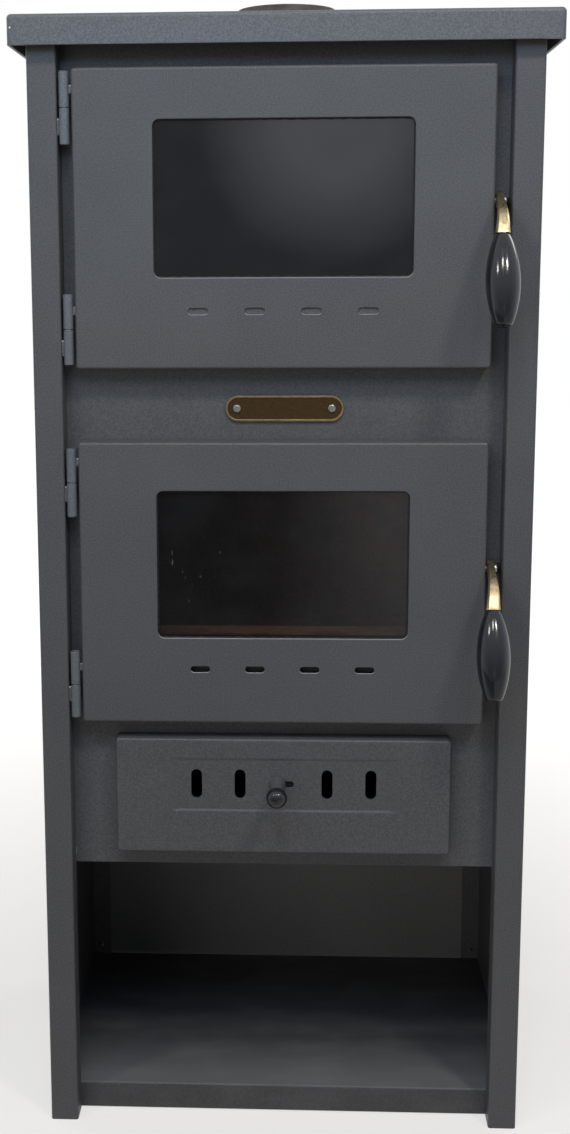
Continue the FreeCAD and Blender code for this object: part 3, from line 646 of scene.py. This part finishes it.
def door_glass(name, film, clear, index, flecks=None):
    """Clear glass made partly opaque and near black, as painted shade of the dark inside behind it; clear
    says how much of it lets light through. Its film of smoke and wiping marks is paler and less clear, as
    film says how much. Around the point flecks, dried drops have left short pale marks."""
    material, tree, shader = finish(name, (0.006, 0.006, 0.007), 0.03)
    shader.inputs["IOR"].default_value = index
    # Painted shade: the pane is partly opaque and near black in place of the dark inside behind it.
    shader.inputs["Alpha"].default_value = 1.0 - clear
    smear = spread(tree, mottle(tree, 0.035, 6.0, (1.6, 1, 1)), 0.45, 0.8, 0.0, film)
    tone = tint(tree, smear, (0.006, 0.006, 0.007), (0.16, 0.16, 0.165))
    dull = spread(tree, smear, 0.0, 1.0, 0.03, 0.4)
    if flecks:
        marks = spread(tree, mottle(tree, 0.0042, 2.0, (0.7, 1, 1.8)), 0.69, 0.73)
        marks = combine(tree, "MULTIPLY", marks, near(tree, flecks, 0.045, 0.028))
        tone = tint(tree, marks, tone, (0.24, 0.24, 0.24))
        dull = combine(tree, "MAXIMUM", dull, spread(tree, marks, 0.0, 1.0, 0.0, 0.6))
    tree.links.new(tone, shader.inputs["Base Color"])
    tree.links.new(dull, shader.inputs["Roughness"])
    return material


def softened_slab(low, high, corner, hem):
    """Slab that stands in the plane of the front: soft rectangle rows from its face round the hem to its
    back."""
    front = [(hem + 2 * MM, 0), (hem, 0), (0.3 * hem, 0.3 * hem), (0, hem)]
    places = [(inset, low.y + depth) for inset, depth in front]
    places += [(inset, high.y - depth) for inset, depth in front[::-1]]
    return np.array([inset_row(low, high, inset, y, corner, 0.2 * MM, 6, 2) for inset, y in places])


low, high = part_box("firebox_glass")
marks = (low.x + 44 * MM, low.y, low.z + 84 * MM)
panes = {"oven": door_glass("oven_pane", 0.05, 0.28, 1.8),
         "firebox": door_glass("firebox_pane", 0.08, 0.55, 1.95, marks)}
for door in DOORS:
    low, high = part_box(door + "_glass")
    pane = skin(door + "_pane", [softened_slab(low, high, PANE_CORNER, PANE_HEM)], panes[door], lids=True)
    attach(pane, door + "_door")
    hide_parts(door + "_glass")

# ---------------------------------------------------------------- glass gaskets, frame and rope seal
# Black woven tape lies on both faces of each pane and shows as a thin dark line round it. A sheet liner
# presses it on with studs and nuts. A plump grey rope lies in a channel round the back of each door.

TAPE_HALF = 5.6 * MM
TAPE_TURNS = 90
ROPE_HALF = 4.25 * MM
ROPE_TURNS = 70


def woven_glass(name, dark, pale):
    """Glass fibre: fine crossing strands over a soft mottle of two greys."""
    material, tree, shader = finish(name, dark, 0.85)
    shader.inputs["Sheen Weight"].default_value = 0.1
    strand = mottle(tree, 0.0012, 2.0, (1, 1, 3))
    tree.links.new(tint(tree, spread(tree, strand, 0.35, 0.65), dark, pale), shader.inputs["Base Color"])
    grain(tree, shader, (strand, 0.0003))
    return material


def rope_ring(low, high, half_width, half_depth, strands):
    """Rope laid in a rectangle with round corners. Its section is an oval, and its strands are a wave that
    runs round the section as it goes along, so it twists like a braid."""
    outline = soft_rectangle(low.x + half_width, high.x - half_width, low.z + half_width, high.z - half_width,
                             half_width * 1.6, 10, 60)
    step = np.roll(outline[:-1], -1, axis=0) - np.roll(outline[:-1], 1, axis=0)
    step /= np.linalg.norm(step, axis=1)[:, None]
    out = np.stack((step[:, 1], -step[:, 0]), -1)
    out = np.concatenate((out, out[:1]))
    around = np.linspace(0, 2 * np.pi, 21)
    along = np.linspace(0, 2 * np.pi * strands, len(outline))
    swell = 1 - 0.07 * (1 + np.sin(along[:, None] + 2 * around))
    wide = half_width * swell * np.cos(around)
    deep = half_depth * swell * np.sin(around)
    middle = (low.y + high.y) / 2
    grid = np.zeros((len(outline), len(around), 3))
    grid[..., 0] = outline[:, None, 0] + out[:, None, 0] * wide
    grid[..., 1] = middle + deep
    grid[..., 2] = outline[:, None, 1] + out[:, None, 1] * wide
    return grid


glass_cloth = woven_glass("glass_cloth", (0.09, 0.088, 0.085), (0.22, 0.215, 0.21))
black_tape = woven_glass("black_tape", (0.006, 0.006, 0.006), (0.016, 0.016, 0.016))
for door in DOORS:
    low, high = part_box(door + "_rope_seal")
    ring = rope_ring(low, high, ROPE_HALF, (high.y - low.y) / 2, ROPE_TURNS)
    rope = skin(door + "_door_rope", [ring], glass_cloth, sharp=80)
    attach(rope, door + "_door")
    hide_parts(door + "_rope_seal")
    low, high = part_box(door + "_glass_gaskets")
    glass_low, glass_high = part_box(door + "_glass")
    rings = []
    for y0, y1 in ((low.y, glass_low.y), (glass_high.y, high.y)):
        start, end = Vector((low.x, y0, low.z)), Vector((high.x, y1, high.z))
        rings.append(rope_ring(start, end, TAPE_HALF, (y1 - y0) / 2, TAPE_TURNS))
    tape = skin(door + "_pane_tapes", rings, black_tape, sharp=80)
    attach(tape, door + "_door")
    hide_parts(door + "_glass_gaskets")
    wear(door + "_glass_fixings", zinc)
    wear(door + "_seal_channel", fire_steel)
    wear(door + "_door_liner", oven_sheet)

# ---------------------------------------------------------------- door hinges
# Weld-on lift-off hinges: a turned barrel in two halves on a fixed pin. The lower half is welded to the post
# by a tab, the upper half to the door. They were set by hand, so their heights and tabs differ a little, and
# a bright tack of weld stands on the top of each tab.


def barrel(radius, bore, length):
    """Half of a hinge barrel: a turned bar with chamfered ends, a deep bore for the pin at one end and a
    shallow one at the other, as pairs of distance along and radius."""
    bevel = 0.5 * MM
    deep = length - 4 * MM
    shallow = length - 3 * MM
    tube = 3.1 * MM
    return [(deep, 0), (deep, bore), (0.4 * MM, bore), (0, bore + 0.4 * MM), (0, radius - bevel),
            (bevel, radius), (2 * bevel, radius), (length - 2 * bevel, radius), (length - bevel, radius),
            (length, radius - bevel), (length, tube + 0.2 * MM), (length - 0.2 * MM, tube), (shallow, tube),
            (shallow, 0)]


BARREL_RADIUS = 4.5 * MM
BARREL_BORE = 2.56 * MM
BARREL_LENGTH = 32.0 * MM
TAB_SHEET = 3.0 * MM
TAB_HEIGHTS = {"post": 14.0 * MM, "door": 7.0 * MM}
HINGE_WELD = 0.8 * MM
TACK_HALF = 2.2 * MM
TAB_DROPS = {"oven": (17.0 * MM, 17.5 * MM), "firebox": (11.3 * MM, 10.1 * MM)}
TAB_LIFTS = {"oven": (16.1 * MM, 16.7 * MM), "firebox": (19.0 * MM, 16.6 * MM)}
hinge_paint = stove_paint("hinge_paint", (0.1, 0.104, 0.114))
tack_steel = finish("tack_steel", (0.5, 0.5, 0.51), 0.35, 0.7)[0]
for door in DOORS:
    door_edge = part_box(door + "_door_panel")[0].x
    pin_low, pin_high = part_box(door + "_hinge_pins")
    axis_x, axis_y = (pin_low.x + pin_high.x) / 2, (pin_low.y + pin_high.y) / 2
    for half_name, body, sign, edge in (("post", "stove", -1, post_edge),
                                        ("door", door + "_door", 1, door_edge)):
        node = f"{door}_hinge_{half_name}_knuckles"
        low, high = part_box(node)
        tall = TAB_HEIGHTS[half_name]
        grids, seams = [], []
        if sign < 0:
            ends = zip((high.z, low.z + BARREL_LENGTH), TAB_DROPS[door])
        else:
            ends = zip((high.z - BARREL_LENGTH, low.z), TAB_LIFTS[door])
        for number, (open_z, offset) in enumerate(ends):
            start = (axis_x, axis_y, open_z)
            grids.append(turned(barrel(BARREL_RADIUS, BARREL_BORE, BARREL_LENGTH), start, (0, 0, sign), 40))
            tab_z = open_z + sign * (offset - 0.25 * MM)
            x0, x1 = sorted((axis_x, edge))
            bottom, top = tab_z - tall / 2, tab_z + tall / 2
            tab_low, tab_high = Vector((x0, axis_y, bottom)), Vector((x1, axis_y + TAB_SHEET, top))
            grids.append(softened_slab(tab_low, tab_high, 0.8 * MM, 0.4 * MM))
            spot = np.array((edge - sign * 0.2 * MM, axis_y, 0))
            lean = np.array((TACK_HALF, 0, 0.3 * MM))
            tack_spot = spot + (0, 0.3 * MM, top)
            seams += [(f"weld_{number}", spot + (0, 0, bottom), spot + (0, 0, top), hinge_paint, number),
                      (f"tack_{number}", tack_spot - lean, tack_spot + lean, tack_steel, number)]
        leaf = skin(node + "_turned", [grids[0], grids[2]], hinge_paint)
        tabs = skin(node + "_tabs", [grids[1], grids[3]], hinge_paint, lids=True)
        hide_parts(node)
        beads = [weld_run(f"{node}_{name}", start, end, HINGE_WELD, metal, seed)
                 for name, start, end, metal, seed in seams]
        for piece in (leaf, tabs, *beads):
            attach(piece, body)
    wear(door + "_hinge_pins", zinc)

# ---------------------------------------------------------------- door handles
# A cast brass lever turns on a screw in the door's edge. It leaves its eye forwards, bends down and flares
# into a faceted ferrule, which holds a spindle grip of glossy black bakelite.


def handle_brass(name):
    """Cast and polished brass: pale gold with upright brown streaks, and flanks darkened brown as painted
    shade.
    """
    material, tree, shader = finish(name, (0.66, 0.52, 0.3), 0.32, 1.0)
    streak = spread(tree, mottle(tree, 0.0022, 3.0, (1, 1, 8)), 0.45, 0.7, 0.0, 0.75)
    tone = tint(tree, streak, (0.72, 0.58, 0.36), (0.4, 0.27, 0.12))
    # Painted shade: faces that turn sideways are darkened brown.
    shaded_flank = combine(tree, "MAXIMUM", facing(tree, "X", 0.5, 0.95), facing(tree, "X", -0.5, -0.95))
    tone = tint(tree, spread(tree, shaded_flank, 0.0, 1.0, 0.0, 0.6), tone, (0.3, 0.19, 0.1))
    tree.links.new(tone, shader.inputs["Base Color"])
    tree.links.new(spread(tree, mottle(tree, 0.003, 4.0), 0.3, 0.7, 0.26, 0.4), shader.inputs["Roughness"])
    grain(tree, shader, (mottle(tree, 0.005, 2.0), 0.00012), (mottle(tree, 0.0006, 2.0, (1, 1, 6)), 0.00003))
    return material


def bakelite(name):
    """Moulded bakelite: near black and glossy, with a hint of orange peel and a few dull rubs."""
    material, tree, shader = finish(name, (0.012, 0.012, 0.014), 0.12)
    shader.inputs["Coat Weight"].default_value = 0.2
    shader.inputs["Coat Roughness"].default_value = 0.06
    tree.links.new(spread(tree, mottle(tree, 0.01, 5.0), 0.45, 0.75, 0.1, 0.24), shader.inputs["Roughness"])
    grain(tree, shader, (mottle(tree, 0.004, 2.0), 0.00004))
    return material


EYE_RADIUS = 7.4 * MM
EYE_WIDTH = 7.0 * MM
GRIP_FORWARD = 47.5 * MM
GRIP_DROP = 30.5 * MM
GRIP_TILT = np.radians(18.3)
GRIP_LENGTH = 82.8 * MM
FERRULE = (12.6 * MM, 12.6 * MM)
HANDLE_LEAN = 1.7 * MM
NECK = (6.6 * MM, 11.8 * MM)
WAIST = (7.0 * MM, 9.6 * MM)
FERRULE_LIP = 0.2 * MM
KNEE = 27 * MM
HOOK = (-3.5 * MM, 4 * MM, 15.5 * MM)
GRIP_ENDS = (6.6 * MM, 7.6 * MM)
GRIP_SWELL = 8.3 * MM
GRIP_MOUTH = 6.2 * MM


def lever_neck(root, knee, tip):
    """Neck of the lever: a chamfered rectangle carried along a curve whose ends point from root to knee and
    from knee to tip. Its width and depth shrink to a waist and then flare evenly to the ferrule, which ends
    in a thin raised lip."""
    t = np.linspace(0, 1, 41)
    line = np.outer((1 - t) ** 2, root) + np.outer(2 * t * (1 - t), knee) + np.outer(t ** 2, tip)
    along = np.outer(1 - t, knee - root) + np.outer(t, tip - knee)
    along /= np.linalg.norm(along, axis=1)[:, None]
    across = np.cross((1.0, 0.0, 0.0), along)
    width = np.interp(t, (0, 0.3, 0.65, 1), (NECK[0], WAIST[0], 0.78 * FERRULE[0], FERRULE[0]))
    depth = np.interp(t, (0, 0.35, 0.65, 1), (NECK[1], WAIST[1], 0.8 * FERRULE[1], FERRULE[1]))
    lip = np.where(t > 0.955, FERRULE_LIP, 0.0)
    c = 0.3
    shape = np.array([(-1 + c, -1), (1 - c, -1), (1, -1 + c), (1, 1 - c), (1 - c, 1), (-1 + c, 1),
                      (-1, 1 - c), (-1, -1 + c), (-1 + c, -1)])
    half_width = (width / 2 + lip)[:, None] * shape[:, 0]
    half_depth = (depth / 2 + lip)[:, None] * shape[:, 1]
    offset = half_width[..., None] * np.array((1.0, 0.0, 0.0)) + half_depth[..., None] * across[:, None]
    return line[:, None] + offset


brass = handle_brass("handle_brass")
black = bakelite("bakelite")
for door in DOORS:
    eye_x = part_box(door + "_handle_keeper")[0].x + EYE_WIDTH / 2
    pin_low, pin_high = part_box(door + "_handle_pivot")
    pivot = np.array((eye_x, (pin_low.y + pin_high.y) / 2, (pin_low.z + pin_high.z) / 2))
    down = np.array((0, -np.sin(GRIP_TILT), -np.cos(GRIP_TILT)))
    tip = pivot + (-HANDLE_LEAN, -GRIP_FORWARD, -GRIP_DROP)
    neck = lever_neck(pivot + (0, 0, 1.5 * MM), tip - down * KNEE + (HANDLE_LEAN, 0, 0), tip)
    r, w, b = EYE_RADIUS, EYE_WIDTH / 2, 0.7 * MM
    eye_profile = [(-w, 2.6 * MM), (-w, r - b), (-w + 0.3 * b, r - 0.3 * b), (-w + b, r), (w - b, r),
                   (w - 0.3 * b, r - 0.3 * b), (w, r - b), (w, 2.6 * MM), (-w, 2.6 * MM)]
    eye = turned(eye_profile, pivot, (1, 0, 0), 48)
    hook_top, hook_tall, hook_reach = HOOK
    hook_low = Vector(pivot + (-w, 0, hook_top - hook_tall))
    hook = softened_slab(hook_low, Vector(pivot + (w, hook_reach, hook_top)), 1.2 * MM, 0.5 * MM)
    lever = skin(door + "_lever_cast", [neck, hook], brass, lids=True)
    ring = skin(door + "_lever_eye", [eye], brass)
    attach(lever, door + "_handle")
    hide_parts(door + "_handle_lever")
    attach(ring, door + "_handle")

    t = np.linspace(0, 1, 49)
    belly = GRIP_ENDS[0] + (GRIP_ENDS[1] - GRIP_ENDS[0]) * t + GRIP_SWELL * (1 - (2 * t - 1) ** 2) ** 0.93
    profile = [(0, 0), (0, GRIP_MOUTH)] + list(zip(t * (GRIP_LENGTH - 1.2 * MM) + 0.2 * MM, belly))
    profile += [(GRIP_LENGTH - 0.5 * MM, GRIP_ENDS[1] - 0.5 * MM), (GRIP_LENGTH, GRIP_MOUTH)]
    profile += [(GRIP_LENGTH, 0)]
    grip = skin(door + "_grip_turned", [turned(profile, tip, down, 64)], black, sharp=40)
    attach(grip, door + "_handle")
    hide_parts(door + "_handle_grip")
    wear(door + "_handle_pivot", zinc)
    wear(door + "_handle_keeper", fire_steel)

# ---------------------------------------------------------------- ash drawer
# The front is a pressed tray with a shallow sunk field, whose sides rise too gently to show. It has four
# upright air slots and a short level slot for the knob. The ash box behind it is dull thin sheet.

DRAWER_BEND = 2.5 * MM
DRAWER_CORNER = 3.5 * MM
SUNK = 1.2 * MM
SLOPE = 1.6 * MM
RAMP = 8.0 * MM
AIR_OFFSETS = (-84.2, -42.0, 42.0, 84.2)
AIR_WIDTH = 10.5 * MM
AIR_HEIGHT = 29.0 * MM
KNOB_TRAVEL = 12.6 * MM
KNOB_SLOT = 6.0 * MM
FIELD_RISE = (43.1 * MM, 94.5 * MM)
FIELD_CORNER = 4.0 * MM
low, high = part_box("ash_drawer_front")
guide_low, guide_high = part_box("air_shutter_guides")
stem_low, stem_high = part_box("air_knob_stem")
field = (guide_low.x, guide_high.x, low.z + FIELD_RISE[0], low.z + FIELD_RISE[1])


def field_row(across, up, depth):
    """Row of points round the sunk field, at a distance inside its sides and inside its top and bottom."""
    outline = soft_rectangle(field[0] + across, field[1] - across, field[2] + up, field[3] - up,
                             max(FIELD_CORNER - up, 0.5 * MM), 8, 12)
    return upright_row(outline, low.y + depth)


slope = [(1 - 2 * s, SUNK * (1 - s * s * (3 - 2 * s))) for s in np.linspace(0, 1, 9)]
sunk = [field_row(20 * MM, 12 * MM, SUNK), field_row(RAMP + 0.6 * MM, SLOPE + 0.6 * MM, SUNK)]
sunk += [field_row(RAMP * way, SLOPE * way, depth) for way, depth in slope]
sunk += [field_row(-RAMP - 0.6 * MM, -SLOPE - 0.6 * MM, 0)]
stations = [inset_row(low, high, i, low.y + d, DRAWER_CORNER)
            for i, d in tray_stations(high.y - low.y, DRAWER_BEND, SHEET)]
behind = [row + (0, SHEET, 0) for row in sunk[::-1]]
rows = sunk + ramp_rows(sunk[-1], stations[0], 3) + stations + ramp_rows(stations[-1], behind[0], 3) + behind
front = skin("drawer_skin", [np.array(rows)], paint, lids=True)
air_z = (stem_low.z + stem_high.z) / 2
knob_x = (stem_low.x + stem_high.x) / 2
air_places = [(0.8 * MM + x * MM, air_z) for x in AIR_OFFSETS]
knob_place = [(knob_x + KNOB_TRAVEL / 2, air_z)]
knob_length = KNOB_TRAVEL + KNOB_SLOT + 0.4 * MM
for name, places, length, height in (("air_tools", air_places, AIR_WIDTH, AIR_HEIGHT),
                                     ("knob_tools", knob_place, knob_length, KNOB_SLOT)):
    punch(front, punch_tools(name, places, length, height, low.y + SUNK, low.y + SUNK + SHEET, paint))
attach(front, "ash_drawer")
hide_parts("ash_drawer_front")
dark_sheet = sooty_steel("dark_sheet", (0.09, 0.088, 0.086))
for node in ("ash_box", "ash_box_rails", "air_shutter_guides", "air_shutter"):
    wear(node, dark_sheet)

# ---------------------------------------------------------------- air knob
# A cone of painted steel carries a glossy black ball. It moves the shutter behind the slots.

SHANK_RADIUS = 2.5 * MM
CONE_FOOT = 8.1 * MM
CONE_TIP = 4.0 * MM
BALL_MOUTH = 4.9 * MM
BALL_CUT = 0.85
ball_low, ball_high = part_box("air_knob_ball")
seat = (knob_x, stem_high.y, air_z)
base_y = low.y + SUNK - 0.4 * MM
reach = stem_high.y - stem_low.y
base = stem_high.y - base_y
cone = [(0, 0), (0, SHANK_RADIUS), (base, SHANK_RADIUS), (base, CONE_FOOT - 0.4 * MM),
        (base + 0.4 * MM, CONE_FOOT), (base + 1.2 * MM, CONE_FOOT - 0.2 * MM),
        (reach - 0.6 * MM, CONE_TIP + 0.5 * MM), (reach, CONE_TIP), (reach, 0)]
stem = skin("knob_cone", [turned(cone, seat, (0, -1, 0), 40)], paint)
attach(stem, "air_slide")
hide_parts("air_knob_stem")
radius = (ball_high.z - ball_low.z) / 2
turn = np.linspace(np.arccos(BALL_CUT), np.pi, 25)
ball_profile = [(0, 0), (0, BALL_MOUTH)]
ball_profile += [(radius * (BALL_CUT - np.cos(t)), radius * np.sin(t)) for t in turn]
ball = skin("knob_ball", [turned(ball_profile, (knob_x, ball_high.y, air_z), (0, -1, 0), 48)], black)
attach(ball, "air_slide")
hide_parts("air_knob_ball")

# ---------------------------------------------------------------- badge
# A bare brass plate with a raised rim, fixed between the doors by two zinc plated screws. The rim is
# rubbed bright, and the field has gone brown.

FIELD_DEPTH = 1.0
BADGE_RIM = ((0.0, 3.0), (0.0, 0.6), (0.2, 0.15), (0.7, 0.0), (1.5, 0.0), (2.0, 0.15), (2.3, 0.5),
             (2.4, FIELD_DEPTH), (6.0, FIELD_DEPTH))


def badge_brass(name, field_y):
    """Brushed brass, rubbed bright on the rim and brown on the field, which lies behind it at field_y."""
    material, tree, shader = finish(name, (0.6, 0.46, 0.25), 0.34, 1.0)
    sunk = spread(tree, coordinate(tree, "Y"), field_y - 0.6 * MM, field_y - 0.2 * MM)
    brushed = spread(tree, mottle(tree, 0.0015, 4.0, (3, 1, 1)), 0.35, 0.7)
    bright = tint(tree, brushed, (0.66, 0.52, 0.3), (0.42, 0.3, 0.15))
    brown = tint(tree, brushed, (0.11, 0.07, 0.036), (0.145, 0.093, 0.047))
    tree.links.new(tint(tree, sunk, bright, brown), shader.inputs["Base Color"])
    tree.links.new(spread(tree, sunk, 0.0, 1.0, 0.3, 0.5), shader.inputs["Roughness"])
    grain(tree, shader, (mottle(tree, 0.003, 4.0), 0.00015))
    return material


low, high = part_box("badge_plate")
half = (high.z - low.z) / 2
rows = []
for inset, depth in BADGE_RIM:
    i = inset * MM
    outline = soft_rectangle(low.x + i, high.x - i, low.z + i, high.z - i, (half - i) * 0.999, 12, 3)
    rows.append(upright_row(outline, low.y + depth * MM))
field_brass = badge_brass("badge_brass", low.y + FIELD_DEPTH * MM)
badge = skin("bare_badge", [np.array(rows)], field_brass, lids=True)
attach(badge, "stove")
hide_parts("badge_plate")
wear("badge_screws", zinc)

# ---------------------------------------------------------------- floor and light
# A plain pale floor and a white surround, as in a studio. In gloss and through glass the floor shows a
# painted
# reflection: it turns dark and glows in its own pattern. A bluish soft lamp fills the upper front and a weak
# low one the wood store, and neither shows in gloss. Three small upper lamps draw the shadows' edges and the
# short highlights on brass and bakelite.


def blend(tree, share, low, high):
    """Number that goes from low to high as share goes from 0 to 1. Each may be a number or a socket."""
    mix = tree.nodes.new("ShaderNodeMix")
    tree.links.new(share, mix.inputs["Factor"])
    for slot, value in ((mix.inputs["A"], low), (mix.inputs["B"], high)):
        if isinstance(value, (int, float)):
            slot.default_value = value
        else:
            tree.links.new(value, slot)
    return mix.outputs["Result"]


def ray_kinds(tree):
    """Two shares: whether a ray comes from the camera, and whether it was mirrored or went through glass."""
    path = tree.nodes.new("ShaderNodeLightPath")
    seen = combine(tree, "MAXIMUM", path.outputs["Is Glossy Ray"], path.outputs["Is Transmission Ray"])
    return path.outputs["Is Camera Ray"], seen


material, tree, shader = finish("ground_white", (0.8, 0.8, 0.8), 0.9)
camera, mirrored = ray_kinds(tree)
white = near(tree, (0, 0, 0), 0.4, 1.8, 0.6, 1.0)
# Painted reflection: for mirrored rays and rays through glass the floor turns dark and glows in a pattern of
# its own.
ahead = spread(tree, coordinate(tree, "X"), -0.06, 0.3, 0.03, 0.38)
shown = blend(tree, spread(tree, coordinate(tree, "Y"), -1.6, 0.3), ahead, 0.75)
glow = combine(tree, "MULTIPLY", mirrored, shown)
tree.links.new(blend(tree, camera, glow, white), shader.inputs["Emission Strength"])
tree.links.new(tint(tree, mirrored, (0.38, 0.35, 0.31), (0.03, 0.03, 0.03)), shader.inputs["Base Color"])
shader.inputs["Emission Color"].default_value = (1, 1, 1, 1)
reach = 8.0
corners = np.array([[(-reach, -reach, 0), (reach, -reach, 0)], [(-reach, reach, 0), (reach, reach, 0)]])
ground = skin("ground", [corners - (0, 0, 0.3 * MM)], material)
if ground.data.polygons[0].normal.z < 0:
    ground.data.flip_normals()

world = bpy.data.worlds.new("studio")
world.use_nodes = True
bpy.context.scene.world = world
tree = world.node_tree
camera, mirrored = ray_kinds(tree)
patch = near(tree, (0.02, -0.997, 0.078), 0.08, 0.03, 0.25, 1.0, "Generated")
upward = spread(tree, coordinate(tree, "Z", "Generated"), 0.12, 0.6, 0.0, 0.4)
surround = combine(tree, "ADD", patch, upward)
reflected = blend(tree, spread(tree, coordinate(tree, "Y", "Generated"), -0.8, 0.1), surround, 0.9)
sky = tree.nodes["Background"]
tree.links.new(tint(tree, camera, (0.88, 0.94, 1.0), (1.0, 1.0, 1.0)), sky.inputs["Color"])
tree.links.new(blend(tree, camera, blend(tree, mirrored, 0.1, reflected), 1.0), sky.inputs["Strength"])


def soft_lamp(name, place, aim, width, height, power, colour, in_gloss=True):
    """Soft lamp with a glowing rectangle, at a place and turned to face the stove's middle at a height."""
    lamp = bpy.data.lights.new(name, "AREA")
    lamp.shape = "RECTANGLE"
    lamp.size = width
    lamp.size_y = height
    lamp.energy = power
    lamp.color = colour
    lamp_object = bpy.data.objects.new(name, lamp)
    way = Vector((0, 0, aim)) - Vector(place)
    lamp_object.matrix_world = Matrix.Translation(place) @ way.to_track_quat("-Z", "Y").to_matrix().to_4x4()
    lamp_object.visible_camera = in_gloss
    lamp_object.visible_glossy = in_gloss
    bpy.context.scene.collection.objects.link(lamp_object)


WARM = (1.0, 0.96, 0.9)
COOL = (0.58, 0.78, 1.0)
soft_lamp("front_fill", (-0.1, -1.05, 1.35), 0.9, 0.9, 0.35, 6.8, COOL, False)
soft_lamp("low_fill", (-1.3, -2.8, 0.7), 0.6, 1.6, 1.2, 12, WARM, False)
soft_lamp("upper_left", (-1.5, -1.6, 2.5), 0.7, 0.3, 0.3, 9.6, WARM)
soft_lamp("upper_middle", (-0.05, -1.6, 2.5), 0.7, 0.3, 0.3, 7.8, WARM)
soft_lamp("upper_right", (1.0, -1.6, 2.5), 0.7, 0.3, 0.3, 16.5, WARM)
soft_lamp("right_back", (1.8, 1.4, 2.2), 0.8, 1.2, 1.2, 14, WARM)
soft_lamp("left_back", (-2.0, 1.2, 1.8), 0.6, 1.2, 1.2, 8, WARM)

# ---------------------------------------------------------------- camera
# It stands in front of the stove at about the height of the oven door's lower edge and looks slightly down
# and to the left. The frame is cropped off-centre, which the shift repeats.

PHOTO_WIDTH = 570.0
PHOTO_HEIGHT = 1134.0
FOCAL_PIXELS = 1663.86
CENTRE_COLUMN = 213.0
SENSOR = 36.0
YAW, PITCH, ROLL = -0.05243, 0.18141, 0.00546
EYE_DISTANCE, EYE_HEIGHT = 1.54017, 0.84974
post_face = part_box("side_panel_left")[0].y
eye_place = Vector((0.01483, post_face - EYE_DISTANCE, EYE_HEIGHT))
forward = Vector((np.sin(YAW) * np.cos(PITCH), np.cos(YAW) * np.cos(PITCH), -np.sin(PITCH)))
right = Vector((np.cos(YAW), -np.sin(YAW), 0.0))
below = forward.cross(right)
tilted = right * np.cos(ROLL) + below * np.sin(ROLL)
below = below * np.cos(ROLL) - right * np.sin(ROLL)
lens = bpy.data.cameras.new("front_view")
lens.sensor_fit = "VERTICAL"
lens.sensor_height = SENSOR
lens.lens = SENSOR * FOCAL_PIXELS / PHOTO_HEIGHT
lens.shift_x = (PHOTO_WIDTH / 2 - CENTRE_COLUMN) / PHOTO_HEIGHT
viewer = bpy.data.objects.new("front_view", lens)
turn = Matrix((tilted, -below, -forward)).transposed().to_4x4()
viewer.matrix_world = Matrix.Translation(eye_place) @ turn
bpy.context.scene.collection.objects.link(viewer)
bpy.context.scene.camera = viewer
bpy.context.scene.view_settings.view_transform = "Standard"
